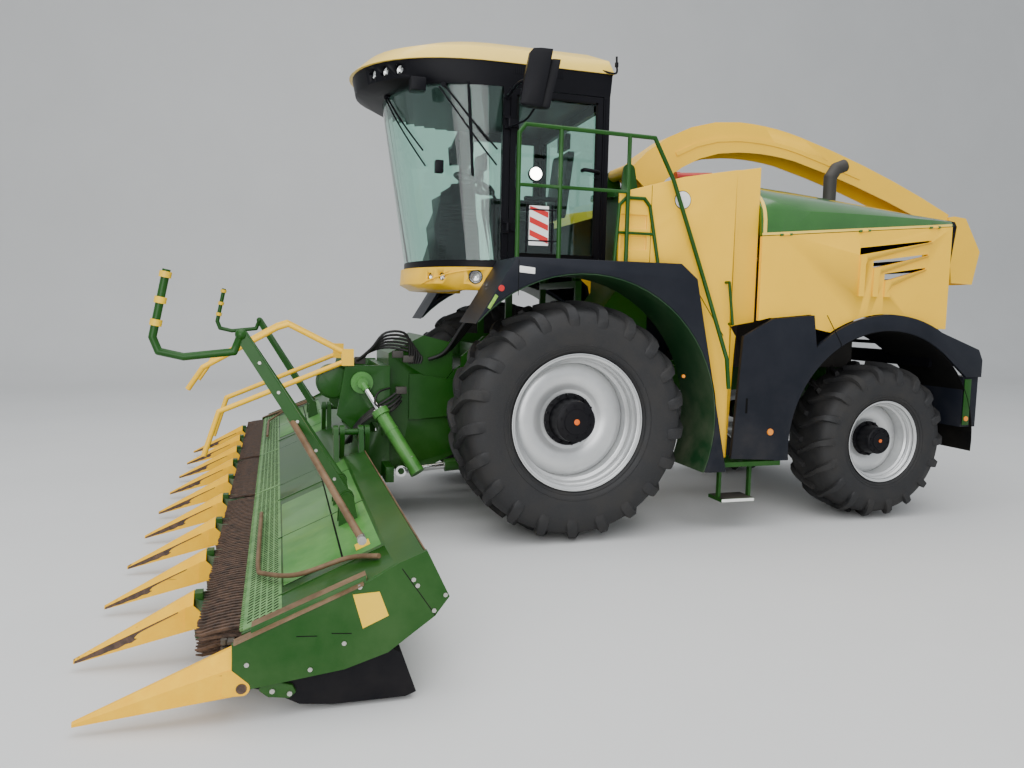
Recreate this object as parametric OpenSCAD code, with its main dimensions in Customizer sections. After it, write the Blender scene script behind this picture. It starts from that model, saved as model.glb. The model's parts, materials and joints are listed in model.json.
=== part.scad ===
// Self-propelled forage harvester with a folding row-independent maize header.
// Lengths are millimetres. X points forward, Y to the machine's left, Z up.
// Modules are drawn with X = 0 over the front axle; place() moves them so that
// the whole machine's box is centred on the origin.

/* [Chassis] */
// Distance between the front and rear axle
wheelbase = 3080; // [2900:10:3300]
// Height of the frame rails
rail_h = 240; // [180:10:280]
// Width of one frame rail
rail_w = 100; // [80:5:110]
// Half distance between the rails' inner faces
rail_y = 330; // [310:5:340]
// Height of the rails' underside
rail_z = 1135; // [1125:5:1160]
// Radius of the front axle's tube
axle_r = 125; // [100:5:130]

// Radius of the rear hitch's pin hole
hitch_pin_r = 20; // [15:0.5:25]
// Height of the rear hitch's middle
hitch_z = 720; // [680:10:760]

/* [Wheels] */
// Outer radius of the front tyres, over the lugs
tyre_front_r = 985; // [940:5:1010]
// Width of the front tyres
tyre_front_w = 710; // [600:10:720]
// Lugs on each side of a front tyre
lugs_front = 21; // [18:1:24]
// Height of the tyre lugs
lug_h = 44; // [30:1:60]
// Radius of the front rims' flanges
rim_front_r = 559; // [520:1:600]
// Sideways place of the front wheels' middle plane
track_front = 1150; // [1140:5:1170]
// Outer radius of the rear tyres, over the lugs
tyre_rear_r = 735; // [690:5:750]
// Width of the rear tyres
tyre_rear_w = 600; // [500:10:620]
// Lugs on each side of a rear tyre
lugs_rear = 18; // [16:1:21]
// Radius of the rear rims' flanges
rim_rear_r = 381; // [350:1:410]
// Sideways place of the rear wheels' middle plane
track_rear = 1100; // [1080:5:1130]
// Sideways place of the rear kingpins
kingpin_y = 900; // [880:5:910]

/* [Cab] */
// Half width of the cab
cab_half_w = 880; // [840:5:900]
// Height of the cab floor's top
cab_floor_z = 2290; // [2270:5:2320]
// Height from the cab floor to the roof
cab_glass_h = 1420; // [1350:10:1450]
// X of the cab's rear wall
cab_rear_x = -430; // [-480:5:-400]
// X of the door's front post
cab_post_x = 470; // [440:5:520]
// X of the windscreen's middle at its foot
cab_nose_x = 1180; // [1100:5:1200]
// How far the windscreen leans forward at its top
cab_lean = 220; // [120:5:240]
// Thickness of the cab's walls and posts
cab_wall = 55; // [45:5:70]
// Thickness of the glass
glass_t = 8; // [6:1:10]

/* [Body] */
// Half width over the fenders
fender_half_w = 1490; // [1470:5:1500]
// Half width of the side panels
panel_half_w = 1380; // [1350:5:1400]
// Thickness of panels and fenders
skin = 35; // [25:1:45]
// X of the body's tail
tail_x = -3700; // [-3760:10:-3650]
// Height of the hood at its front
hood_z = 3160; // [3120:10:3200]
// Height of the hood at its tail
hood_tail_z = 2860; // [2820:10:2900]
// Radius of the front fender's arch
arch_front_r = 1195; // [1150:5:1220]
// Radius of the rear fender's arch
arch_rear_r = 1030; // [1000:5:1050]

/* [Header] */
// Space between the header's rows
row_w = 750; // [745:1:755]
// X of the rear face of the header's decks
deck_rear_x = 1565; // [1550:5:1590]
// Foremost reach of the row points
point_x = 3320; // [3280:10:3350]
// Half width of the header's fixed middle section
centre_half_w = 840; // [835:1:850]
// Height of the wings' fold pins
fold_z = 860; // [850:5:880]
// Radius of the tubes of hoops and crop bars
tube_r = 22; // [16:1:26]

/* [Spout] */
// X of the spout's turning axis
slew_x = -960; // [-980:5:-940]
// Outer width of the spout
spout_w = 340; // [300:10:360]
// Depth of the spout at its root
spout_root_d = 340; // [300:10:360]
// Depth of the spout at its tail
spout_tail_d = 210; // [180:10:240]
// Wall of the spout
spout_wall = 12; // [8:1:20]

/* [Hidden] */
$fn = 48;

run_gap = 6;
point_back = 2740;
chain_z = 310;
hitch_x = tail_x - 340;
hitch_w = 60;
front_hub_in = 160;
rear_hub_in = 90;
seat_gap = 0.3;
pin_gap = 0.1;
king_r = 25;
axle_z = tyre_front_r;
rear_x = -wheelbase;
rear_z = tyre_rear_r;
lift_x = 560;
lift_z = 1080;
drum_r = 350;
lift_pin_big = 60;
chop_half_w = 425;
cab_top_z = cab_floor_z + cab_glass_h;

green = [0.08, 0.33, 0.13];
yellow = [0.93, 0.76, 0.38];
grey = [0.22, 0.24, 0.26];
black = [0.05, 0.05, 0.05];
silver = [0.75, 0.77, 0.78];

// Spout centre line: each span is [radius, angle swept], from the root to the tail
spout_start = 50;
spout_spans = [[1570, 50], [3000, 14], [12000, 10]];
spout_crest = [-2150, 3812];
span_steps = 5;

function turn(p, heading, radius, sweep) =
    p + radius * [sin(heading - sweep) - sin(heading), cos(heading - sweep) - cos(heading)];
function span_points(p, heading, radius, sweep) =
    [for (k = [0 : span_steps]) [turn(p, heading, radius, sweep * k / span_steps),
        heading - sweep * k / span_steps]];
spout_root = spout_crest + spout_spans[0][0] * [sin(spout_start), cos(spout_start) - 1];
span_1 = span_points(spout_root, spout_start, spout_spans[0][0], spout_spans[0][1]);
span_2 = span_points(span_1[span_steps][0], 0, spout_spans[1][0], spout_spans[1][1]);
span_3 = span_points(span_2[span_steps][0], -spout_spans[1][1], spout_spans[2][0], spout_spans[2][1]);
spout_line = [for (k = [0 : span_steps]) span_1[k], for (k = [1 : span_steps]) span_2[k],
    for (k = [1 : span_steps]) span_3[k]];
spout_count = len(spout_line);
function spout_depth(k) = spout_root_d + (spout_tail_d - spout_root_d) * k / (spout_count - 1);
function spout_below(k, d) =
    spout_line[k][0] + d * [-sin(spout_line[k][1]), -cos(spout_line[k][1])];
spout_end = spout_line[spout_count - 1][0];
spout_pivot = spout_root;
flap_pivot = spout_end + [-20, -60];
flap_reach = 430;
rear_reach = flap_pivot[0] - flap_reach;
shift_x = -(point_x + rear_reach) / 2;

module place() translate([shift_x, 0, 0]) children();
// Draws an X-Z outline as a plate between two Y values
module upright(y0, y1) translate([0, max(y0, y1), 0]) rotate([90, 0, 0])
    linear_extrude(abs(y1 - y0)) children();
// Draws a Y-Z outline as a bar between two X values
module across(x0, x1) translate([x0, 0, 0]) rotate([90, 0, 90]) linear_extrude(x1 - x0) children();
module flat(z0, z1) translate([0, 0, z0]) linear_extrude(z1 - z0) children();
module block(x0, x1, y0, y1, z0, z1) translate([x0, y0, z0]) cube([x1 - x0, y1 - y0, z1 - z0]);
module bar_y(x, z, r, y0, y1) translate([x, y0, z]) rotate([-90, 0, 0]) cylinder(h = y1 - y0, r = r);
module bar_x(y, z, r, x0, x1) translate([x0, y, z]) rotate([0, 90, 0]) cylinder(h = x1 - x0, r = r);
module tube(p, q, r) {
    d = q - p;
    translate(p) rotate([0, acos(d[2] / norm(d)), atan2(d[1], d[0])]) cylinder(h = norm(d), r = r);
}
module flat_bar(p, q, w, t) {
    d = q - p;
    translate(p) rotate([0, acos(d[2] / norm(d)), atan2(d[1], d[0])]) translate([-w / 2, -t / 2, 0])
        cube([w, t, norm(d)]);
}
module bent_tube(pts, r) {
    for (k = [0 : len(pts) - 2]) tube(pts[k], pts[k + 1], r);
    for (k = [1 : len(pts) - 2]) translate(pts[k]) sphere(r = r + 0.2);
}
module both_sides() {
    children();
    mirror([0, 1, 0]) children();
}

// Chassis
module front_plate() difference() {
    union() {
        polygon([[-620, rail_z], [-620, 1480], [-300, 1640], [560, 1640], [760, 1460], [760, 1180],
            [640, rail_z]]);
        polygon([[200, rail_z], [230, 520], [370, 520], [440, rail_z]]);
        translate([lift_x, lift_z]) circle(r = lift_pin_big + 50);
    }
    translate([lift_x, lift_z]) circle(r = lift_pin_big + pin_gap);
}
module chassis() color(green) {
    both_sides() {
        block(tail_x + 60, -400, rail_y, rail_y + rail_w, rail_z, rail_z + rail_h);
        upright(chop_half_w + 60, chop_half_w + 95) front_plate();
        bar_y(lift_base[0], lift_base[1], lift_pin_r, chop_half_w + 94, lift_y + 34);
        block(-620, -400, rail_y, chop_half_w + 60, rail_z, rail_z + 60);
        block(300, 360, chop_half_w + 60, chop_half_w + 95, 1560, cab_floor_z - 130);
        block(-360, -300, chop_half_w + 60, chop_half_w + 95, 1560, cab_floor_z - 130);
    }
    for (x = [tail_x + 60, rear_x - 60, -1800]) block(x, x + 120, -rail_y, rail_y, rail_z, rail_z + 120);
    for (x = [-360, 300]) block(x, x + 60, -chop_half_w - 95, chop_half_w + 95, cab_floor_z - 190,
        cab_floor_z - 130);
    both_sides() for (x = [-330, 330]) translate([x, chop_half_w + 40, cab_floor_z - 131])
        cylinder(h = 71 - seat_gap, r = 45);
    both_sides() upright(rail_y, rail_y + rail_w) polygon([[rear_x - 180, rail_z], [rear_x + 180, rail_z],
        [rear_x + 90, rear_z + 90 + seat_gap], [rear_x - 90, rear_z + 90 + seat_gap]]);
}
module rear_hitch() color(green) {
    block(tail_x + 60, tail_x + 120, -hitch_w, hitch_w, hitch_z - 50, rail_z - seat_gap);
    difference() {
        block(hitch_x - 40, tail_x + 120, -hitch_w, hitch_w, hitch_z - 50, hitch_z + 50);
        block(hitch_x - 41, hitch_x + 80, -hitch_w - 1, hitch_w + 1, hitch_z - 25, hitch_z + 25);
        translate([hitch_x, 0, hitch_z - 60]) cylinder(h = 120, r = hitch_pin_r);
    }
}
module front_axle() color(green) {
    bar_y(0, axle_z, axle_r, -700, 700);
    both_sides() {
        bar_y(0, axle_z, 190, 700, track_front - front_hub_in - seat_gap);
        block(-110, 110, chop_half_w + 60, chop_half_w + 95, axle_z + 50, rail_z);
    }
}
module rear_axle() color(green) {
    block(rear_x - 80, rear_x + 80, -kingpin_y + 62, kingpin_y - 62, rear_z - 85, rear_z + 90);
    both_sides() for (z = [rear_z - 85, rear_z + 60]) difference() {
        flat(z, z + 25) hull() {
            translate([rear_x, kingpin_y]) circle(r = 48);
            translate([rear_x - 70, kingpin_y - 63]) square([140, 10]);
        }
        translate([rear_x, kingpin_y, z - 1]) cylinder(h = 27, r = king_r + pin_gap);
    }
}
module knuckle() color(green) {
    translate([rear_x, kingpin_y, rear_z - 90]) cylinder(h = 180, r = king_r);
    translate([rear_x, kingpin_y, rear_z - 60 + seat_gap]) cylinder(h = 120 - 2 * seat_gap, r = 50);
    bar_y(rear_x, rear_z, 45, kingpin_y, track_rear - 100);
    bar_y(rear_x, rear_z, 110, kingpin_y + 60, track_rear - rear_hub_in - seat_gap);
}
module engine() color(black) block(-3300, -1950, -610, 610, rail_z + rail_h, 2400);

module channel_outline() difference() {
    polygon([[160, 560], [820, 560], [960, 820], [960, 1420], [700, 1560], [160, 1560], [-560, 1780],
        [-790, 2080], [-790, 2980], [-1130, 2980], [-1130, 1500], [-900, 1250], [-200, 1130],
        [160, 1130]]);
    difference() {
        translate([lift_x, 300]) square([600, 1500]);
        translate([lift_x, lift_z]) circle(r = drum_r, $fn = 96);
    }
}
module crop_channel() color(green) {
    upright(-chop_half_w + 110, chop_half_w - 110) channel_outline();
    upright(-chop_half_w, chop_half_w) intersection() {
        channel_outline();
        translate([160, 0]) square([900, 3000]);
    }
    both_sides() bar_y(lift_x, lift_z, lift_pin_big, chop_half_w, chop_half_w + 95);
}

// Wheels
module tyre_outline(r, w, rim_r, rim_w) difference() {
    tyre_side([[rim_r - 26, rim_w / 2 - 14.5], [rim_r + 2, rim_w / 2 - 14.5], [rim_r + 45, rim_w / 2 - 2],
        [(rim_r + r) / 2 - 20, w / 2 - 6], [r - 150, w / 2 - 20], [r - lug_h - 38, w * 0.42],
            [r - lug_h, w * 0.28]]);
    tyre_side([[rim_r - 40, rim_w / 2 - 60], [(rim_r + r) / 2 - 20, w / 2 - 44], [r - 180, w / 2 - 80],
        [r - lug_h - 60, w * 0.28]]);
}
// An outline of [radius, half width] points and its mirror image, closed across the middle
module tyre_side(half) polygon(concat(half, [for (k = [len(half) - 1 : -1 : 0]) [half[k][0], -half[k][1]]]));
// Lugs: bars slanted across the tread that wrap over the shoulder, in two rows half a pitch apart
module lug_outline(w) polygon([[-24, -26], [w * 0.22, w * 0.15], [w * 0.52, w * 0.24], [w * 0.52, w * 0.38],
    [w * 0.2, w * 0.27], [-24, 40]]);
module lug_bars(r, w, lugs) for (k = [0 : lugs - 1]) rotate([0, 0, 360 * k / lugs])
    translate([r - 230, 0, 0]) rotate([90, 0, 90]) linear_extrude(240) rotate(90) lug_outline(w);
module tyre(r, w, rim_r, rim_w, lugs) color(black) rotate([-90, 0, 0]) {
    rotate_extrude($fn = 96) tyre_outline(r, w, rim_r, rim_w);
    intersection() {
        union() {
            lug_bars(r, w, lugs);
            mirror([0, 0, 1]) rotate([0, 0, 180 / lugs]) lug_bars(r, w, lugs);
        }
        rotate_extrude($fn = 96) difference() {
            tyre_side([[r - 220, w / 2 - 14], [r - 190, w / 2 - 4], [r - 110, w / 2],
                [r - 40, w / 2 - 26], [r, w * 0.34]]);
            tyre_side([[r - 221, w / 2 - 70], [r - 110, w / 2 - 60], [r - 90, w * 0.3]]);
        }
    }
}
module rim(rim_r, rim_w, dish, hub_r, hub_in, hub_out) color(silver) rotate([-90, 0, 0]) {
    rotate_extrude($fn = 96) {
        polygon([[rim_r - 38, -rim_w / 2], [rim_r, -rim_w / 2], [rim_r, -rim_w / 2 + 12],
            [rim_r - 26.3, -rim_w / 2 + 14], [rim_r - 26.3, -rim_w / 2 + 90], [rim_r - 75, -rim_w / 2 + 130],
            [rim_r - 75, rim_w / 2 - 130], [rim_r - 26.3, rim_w / 2 - 90], [rim_r - 26.3, rim_w / 2 - 14],
            [rim_r, rim_w / 2 - 12], [rim_r, rim_w / 2], [rim_r - 38, rim_w / 2], [rim_r - 38, rim_w / 2 - 84],
            [rim_r - 87, rim_w / 2 - 136], [rim_r - 87, -rim_w / 2 + 136], [rim_r - 38, -rim_w / 2 + 84]]);
        polygon([[rim_r - 80, dish], [rim_r - 140, dish - 45], [hub_r + 60, dish - 40],
            [hub_r - 10, dish + 10],
            [hub_r - 10, dish - 8], [hub_r + 58, dish - 58], [rim_r - 132, dish - 62],
                [rim_r - 80, dish - 28]]);
    }
    translate([0, 0, hub_in]) cylinder(h = hub_out - hub_in, r = hub_r);
}
module wheel_at(x, y, z) translate([x, y, z]) children();

// Cab: its plan is a rectangle behind the post and half a squashed circle before it
cab_steps = 24;
function cab_plan(grow, nose) = concat(
    [[cab_rear_x - grow, -cab_half_w - grow], [cab_post_x, -cab_half_w - grow]],
    [for (k = [1 : cab_steps - 1]) let (a = -90 + 180 * k / cab_steps)
        [cab_post_x + (nose - cab_post_x + grow) * pow(cos(a), 0.8), (cab_half_w + grow) * sin(a)]],
    [[cab_post_x, cab_half_w + grow], [cab_rear_x - grow, cab_half_w + grow]]);
module cab_shell() color(grey) {
    for (z = door_hinge_z) post_hinge(z);
    flat(cab_floor_z - 60, cab_floor_z) polygon(cab_plan(0, cab_nose_x));
    both_sides() {
        block(cab_post_x - 10, cab_post_x + 50, cab_half_w - cab_wall, cab_half_w, cab_floor_z, cab_top_z);
        block(cab_rear_x, cab_rear_x + cab_wall, cab_half_w - cab_wall, cab_half_w, cab_floor_z, cab_top_z);
    }
    difference() {
        block(cab_rear_x, cab_rear_x + cab_wall, -cab_half_w + cab_wall, cab_half_w - cab_wall,
            cab_floor_z, cab_top_z);
        block(cab_rear_x - 1, cab_rear_x + 100, -cab_half_w + 130, cab_half_w - 130, cab_floor_z + 420,
            cab_top_z - 80);
    }
    difference() {
        block(cab_rear_x + cab_wall, cab_post_x - 10, -cab_half_w, -cab_half_w + 40, cab_floor_z, cab_top_z);
        block(cab_rear_x + cab_wall + 60, cab_post_x - 70, -cab_half_w - 1, -cab_half_w + 60,
            cab_floor_z + 120, cab_top_z - 80);
    }
}
// Roof and visor in layers: each is [height over the glass, how far it grows sideways, reach of its nose]
roof_seam = 190;
roof_layers = [[roof_seam, 25, 490], [roof_seam + 115, -15, 395], [roof_seam + 195, -160, 260],
    [roof_seam + 230, -400, 60]];
visor_layers = [[0, 0, cab_lean + 110], [50, 4, 455], [roof_seam - 1, 12, 475]];
module cab_layers(layers) hull() for (layer = layers)
    flat(cab_top_z + layer[0], cab_top_z + layer[0] + 1) polygon(cab_plan(layer[1], cab_nose_x + layer[2]));
module cab_roof() color(yellow) cab_layers(roof_layers);
// Visor: the dark underside of the roof, with lamp pockets round its nose
visor_lamps = [-46, -37, -28, 28, 37, 46];
lamp_r = 44;
module visor_lamp_at(a) translate([cab_post_x + (cab_nose_x + 470 - cab_post_x) * pow(cos(a), 0.8),
    cab_half_w * sin(a), cab_top_z + roof_seam - 70]) rotate([0, 0, a]) children();
module roof_visor() color(black) difference() {
    cab_layers(visor_layers);
    for (a = visor_lamps) visor_lamp_at(a) rotate([0, 90, 0]) translate([0, 0, -120])
        cylinder(h = 400, r = lamp_r + 1);
}
skirt_lamps = [[16, 60], [40, 34], [50, 34]];
module skirt_lamp_at(a) translate([cab_post_x + (cab_nose_x - cab_post_x) * pow(cos(a), 0.8),
    cab_half_w * sin(a),
    cab_floor_z - 140]) rotate([0, 0, a]) rotate([0, 90, 0]) children();
module lamps() color(silver) {
    for (a = visor_lamps) visor_lamp_at(a) rotate([0, 90, 0]) translate([0, 0, -119.7])
        cylinder(h = 90, r = lamp_r);
    both_sides() for (lamp = skirt_lamps) skirt_lamp_at(90 - lamp[0]) translate([0, 0, -59.7])
        cylinder(h = 55, r = lamp[1]);
}
module windscreen() difference() {
    hull() {
        flat(cab_floor_z, cab_floor_z + 1) polygon(cab_plan(0, cab_nose_x));
        flat(cab_top_z - 1, cab_top_z) polygon(cab_plan(0, cab_nose_x + cab_lean));
    }
    hull() {
        flat(cab_floor_z - 2, cab_floor_z - 1) polygon(cab_plan(-glass_t, cab_nose_x - 1));
        flat(cab_top_z + 1, cab_top_z + 2) polygon(cab_plan(-glass_t, cab_nose_x + cab_lean));
    }
    block(cab_rear_x - 50, cab_post_x + 50, -cab_half_w - 50, cab_half_w + 50, cab_floor_z - 50,
        cab_top_z + 50);
}
module cab_glass() color([0.3, 0.5, 0.45, 0.4]) {
    windscreen();
    block(cab_rear_x + 20, cab_rear_x + 20 + glass_t, -cab_half_w + 130, cab_half_w - 130,
        cab_floor_z + 420, cab_top_z - 80);
    block(cab_rear_x + cab_wall + 60, cab_post_x - 70, -cab_half_w + 10, -cab_half_w + 10 + glass_t,
        cab_floor_z + 120, cab_top_z - 80);
}
door_x0 = cab_rear_x + cab_wall + run_gap;
door_x1 = cab_post_x - 10 - run_gap;
module cab_door() color(grey) {
    for (z = door_hinge_z) door_hinge(z);
    difference() {
    block(door_x0, door_x1, cab_half_w - 40, cab_half_w, cab_floor_z + run_gap, cab_top_z - run_gap);
    block(door_x0 + 50, door_x1 - 50, cab_half_w - 50, cab_half_w + 10, cab_floor_z + 60, cab_top_z - 60);
    }
}
hinge_pin_r = 9;
door_hinge_z = [cab_floor_z + 250, cab_floor_z + 1100];
hinge_out = 18 + run_gap;
module door_hinge(z) {
    difference() {
        union() {
            translate([cab_post_x, cab_half_w + hinge_out, z]) cylinder(h = 60, r = 18);
            block(cab_post_x - 70, cab_post_x, cab_half_w, cab_half_w + hinge_out + 8, z, z + 60);
        }
        translate([cab_post_x, cab_half_w + hinge_out, z - 1]) cylinder(h = 62, r = hinge_pin_r + pin_gap);
        block(door_x1, cab_post_x + 60, cab_half_w - 60, cab_half_w + run_gap, z - 1, z + 61);
    }
}
module post_hinge(z) {
    translate([cab_post_x, cab_half_w + hinge_out, z - 20]) cylinder(h = 100, r = hinge_pin_r);
    for (low = [z - 20, z + 60 + seat_gap]) block(cab_post_x - 12, cab_post_x + 40, cab_half_w,
        cab_half_w + hinge_out + 12, low, low + 20 - seat_gap);
}
module door_glass() color([0.3, 0.5, 0.45, 0.4])
    block(door_x0 + 50, door_x1 - 50, cab_half_w - 24, cab_half_w - 24 + glass_t, cab_floor_z + 60,
        cab_top_z - 60);
module seat() color(black) {
    hull() {
        block(-230, 200, -250, 250, cab_floor_z + 420, cab_floor_z + 500);
        block(-200, 240, -230, 230, cab_floor_z + 420, cab_floor_z + 530);
    }
    hull() {
        block(-330, -230.3, -245, 245, cab_floor_z + 440, cab_floor_z + 900);
        block(-372, -280, -200, 200, cab_floor_z + 1080, cab_floor_z + 1120);
    }
    block(-372, -300, -130, 130, cab_floor_z + 1120, cab_floor_z + 1280);
    block(-220, 160, -200, 200, cab_floor_z, cab_floor_z + 420);
}
module console() color(black) {
    hull() {
        block(-200, 330, -420, -290, cab_floor_z + 560, cab_floor_z + 680);
        block(-120, 240, -400, -310, cab_floor_z, cab_floor_z + 40);
    }
    tube([640, 0, cab_floor_z + 10], [560, 0, cab_floor_z + 720], 45);
    hull() {
        block(600, 780, -140, 140, cab_floor_z, cab_floor_z + 20);
        block(560, 640, -90, 90, cab_floor_z + 480, cab_floor_z + 500);
    }
    translate([548, 0, cab_floor_z + 760]) rotate([0, -25, 0]) {
        rotate_extrude() translate([190, 0]) circle(r = 16);
        for (turn = [90, 210, 330]) rotate([0, 0, turn]) translate([0, -14, -10]) cube([190, 28, 20]);
        translate([0, 0, -45]) cylinder(h = 60, r = 40);
    }
    tube([200, -355, cab_floor_z + 620], [400, -355, cab_floor_z + 860], 18);
    block(385, 415, -460, -240, cab_floor_z + 840, cab_floor_z + 1040);
    translate([60, -355, cab_floor_z + 640]) cylinder(h = 160, r = 24);
}
mirror_arm_x = 490;
module mirrors() color(black) both_sides() {
    hull() {
        block(330, 345, 1240, 1390, 3440, 3890);
        block(360, 400, 1250, 1380, 3460, 3870);
    }
    bent_tube([[mirror_arm_x, cab_half_w + seat_gap, 3640], [mirror_arm_x, 1000, 3640],
        [mirror_arm_x - 30, 1150, 3680],
        [365, 1245, 3690]], 14);
}
module cab_skirt() color(yellow) difference() {
    hull() {
        flat(cab_floor_z - 62, cab_floor_z - 60) polygon(cab_plan(20, cab_nose_x + 10));
        flat(cab_floor_z - 200, cab_floor_z - 198) polygon(cab_plan(0, cab_nose_x + 40));
        flat(cab_floor_z - 250, cab_floor_z - 248) polygon(cab_plan(-60, cab_nose_x + 10));
    }
    block(-900, cab_post_x + 30, -1500, 1500, 1500, cab_floor_z + 100);
    block(-900, cab_post_x + 300, -700, 700, 1500, cab_floor_z - 100);
    both_sides() for (lamp = skirt_lamps) skirt_lamp_at(90 - lamp[0]) translate([0, 0, -60])
        cylinder(h = 200, r = lamp[1] + 1);
}

// Fenders and cladding
fender_top_z = 2285;
fender_in = cab_half_w + 20 + run_gap;
fender_back = [[-850, fender_top_z], [-1000, fender_top_z - 120], [-1350, 540]];
module front_fender_outline(inset) difference() {
    offset(delta = -inset) polygon(concat([[890, 1740], [560, fender_top_z]], fender_back,
        [[-1150, 540], [-600, 1500]]));
    translate([-30, axle_z]) circle(r = arch_front_r + inset, $fn = 300);
}
module fenders_front() color(grey) both_sides() difference() {
    upright(fender_in, fender_half_w) front_fender_outline(0);
    upright(fender_in - 1, fender_half_w - skin) front_fender_outline(skin);
}
rear_arch = [-3030, rear_z];
module rear_fender_ring(r) difference() {
    circle(r = r, $fn = 96);
    circle(r = arch_rear_r, $fn = 96);
}
module rear_fender_outline() difference() {
    union() {
        polygon([[-1430, 640], [-1500, 1700], [-1780, 1850], [-2200, 1890], [-2300, 1200],
            [-1990, step_z + seat_gap]]);
        intersection() {
            translate(rear_arch) rear_fender_ring(arch_rear_r + 145);
            translate([-3620, step_z + seat_gap]) square([1800, 1500]);
        }
        polygon([[tail_x + 100, 1600], [tail_x + 100, 1760], [bumper_back + 50, 1600], [bumper_back, 1500],
            [bumper_back, bumper_z[1]], [bumper_front, bumper_z[1]]]);
    }
    translate(rear_arch) circle(r = arch_rear_r, $fn = 96);
}
module fenders_rear() color(grey) both_sides() {
    upright(fender_half_w - 60, fender_half_w - 60 - skin) rear_fender_outline();
    upright(640, fender_half_w - 60 - skin) intersection() {
        rear_fender_outline();
        translate(rear_arch) circle(r = arch_rear_r + skin, $fn = 96);
        translate([tail_x + 10, 1500]) square([-1200 - tail_x, 700]);
    }
}
module cladding_outline() polygon(concat([[-330, fender_top_z + seat_gap], [-330, 2840], [-900, 3000],
    [hood_front_x + seat_gap, hood_z - 20], [hood_front_x + seat_gap, 1820], [-1400, 1775], [-1488, 1700],
        [-1418, 640]],
    [[-1340, 640], [-1012, fender_back[1][1]], [-856, fender_top_z + seat_gap]]));
// The cladding's plan folds inwards before the engine panel
fold_depth = 55;
function fold_plan(y) = [[-300, y], [-1395, y], [-1475, y - fold_depth], [-1662, y - fold_depth]];
toe_recess = [[-330, 2560], [-330, 2390]];
module cladding() color(yellow) both_sides() difference() {
    intersection() {
        upright(panel_half_w - 200, panel_half_w + 10) cladding_outline();
        flat(500, 3200) polygon(concat(fold_plan(panel_half_w),
            [for (k = [3 : -1 : 0]) fold_plan(panel_half_w - skin)[k]]));
    }
    for (p = toe_recess) block(p[0] - 250, p[0] - 20, panel_half_w - 24, panel_half_w + 5, p[1], p[1] + 110);
}
panel_end = tail_x + run_gap + 2;
module engine_panel_outline() difference() {
    polygon([[panel_hinge[0] - 1, 2555], [panel_hinge[0] - 1, 1834], [-1780, 1860], [panel_end, 1500],
        [panel_end, 2735]]);
    translate(rear_arch) circle(r = arch_rear_r + 151, $fn = 96);
    translate([panel_end, 1000]) square([200, 790]);
    polygon([[-1300, 1600], [-1506, 1706], [-1780, 1856], [-2200, 1896], [-2300, 1500]]);
}
// Louvres: each row is [front x, height there, rear x, height there]
louvres = [[-2680, 2500, -3460, 2600], [-2830, 2390, -3430, 2475], [-2960, 2280, -3410, 2350]];
louvre_foot_z = 2070;
rib_w = 56;
module louvre_slot(row) polygon([[row[0], row[1]], [row[2], row[3]], [row[2], row[3] - 14],
    [row[0] - 60, row[1] - 52],
    [row[0], row[1] - 62]]);
module louvre_rib(row) polygon([[row[0], row[1] - 64], [row[0] - 62, row[1] - 56], [row[2], row[3] - 16],
    [row[2], row[3] - 24], [row[0] - 80, row[1] - 105], [row[0] - rib_w, row[1] - 140],
    [row[0] - rib_w, louvre_foot_z], [row[0], louvre_foot_z]]);
// The engine panel hangs on short hinge pins under the hood's foot
panel_hinge = [-1666, panel_half_w + 4, 2559];
panel_hinge_end = [tail_x, panel_half_w + 4, 2739];
panel_knuckles = [0.1, 0.5, 0.88];
knuckle_len = 60;
knuckle_r = 10;
panel_pin_r = 5;
module panel_axis_rod(t, from, to, r) {
    d = panel_hinge_end - panel_hinge;
    u = d / norm(d);
    tube(panel_hinge + d * t + u * from, panel_hinge + d * t + u * to, r);
}
module panel_lugs() for (t = panel_knuckles) {
    panel_axis_rod(t, -30, -seat_gap, knuckle_r);
    panel_axis_rod(t, knuckle_len + seat_gap, knuckle_len + 30, knuckle_r);
    panel_axis_rod(t, -29, knuckle_len + 29, panel_pin_r);
}
module engine_panel() color(yellow) {
    for (t = panel_knuckles) difference() {
        panel_axis_rod(t, 0, knuckle_len, knuckle_r);
        panel_axis_rod(t, -1, knuckle_len + 1, panel_pin_r + pin_gap);
    }
    difference() {
        upright(panel_half_w - skin, panel_half_w) engine_panel_outline();
        for (t = panel_knuckles) {
            panel_axis_rod(t, -32, 0, knuckle_r + 2);
            panel_axis_rod(t, knuckle_len, knuckle_len + 32, knuckle_r + 2);
            panel_axis_rod(t, -1, knuckle_len + 1, panel_pin_r + pin_gap);
        }
        for (row = louvres) upright(panel_half_w - skin - 1, panel_half_w + 1) louvre_slot(row);
    }
    for (row = louvres) upright(panel_half_w - 1, panel_half_w + 16) louvre_rib(row);
}

// Hood: an arched section swept from its front to its tail, with a crowned top line
hood_front_x = -1661.3;
hood_steps = 8;
hood_sides = 16;
hood_foot_z = [2561, 2741];
function hood_x(t) = hood_front_x + (tail_x - hood_front_x) * t;
function hood_foot(t) = hood_foot_z[0] + (hood_foot_z[1] - hood_foot_z[0]) * t;
function hood_top(t) = hood_z + (hood_tail_z - hood_z) * (0.55 * t + 0.45 * t * t);
function hood_arch(t, inset) = [for (k = [0 : hood_sides]) let (a = 180 - 180 * k / hood_sides)
    [(panel_half_w - inset) * cos(a), hood_foot(t) + (hood_top(t) - inset - hood_foot(t)) * pow(sin(a), 0.6)]];
function hood_ring(t) = let (inner = hood_arch(t, skin), last = hood_sides)
    [for (p = hood_arch(t, 0)) [hood_x(t), p[0], p[1]],
        for (k = [0 : last]) [hood_x(t), inner[last - k][0], inner[last - k][1]]];
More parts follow.
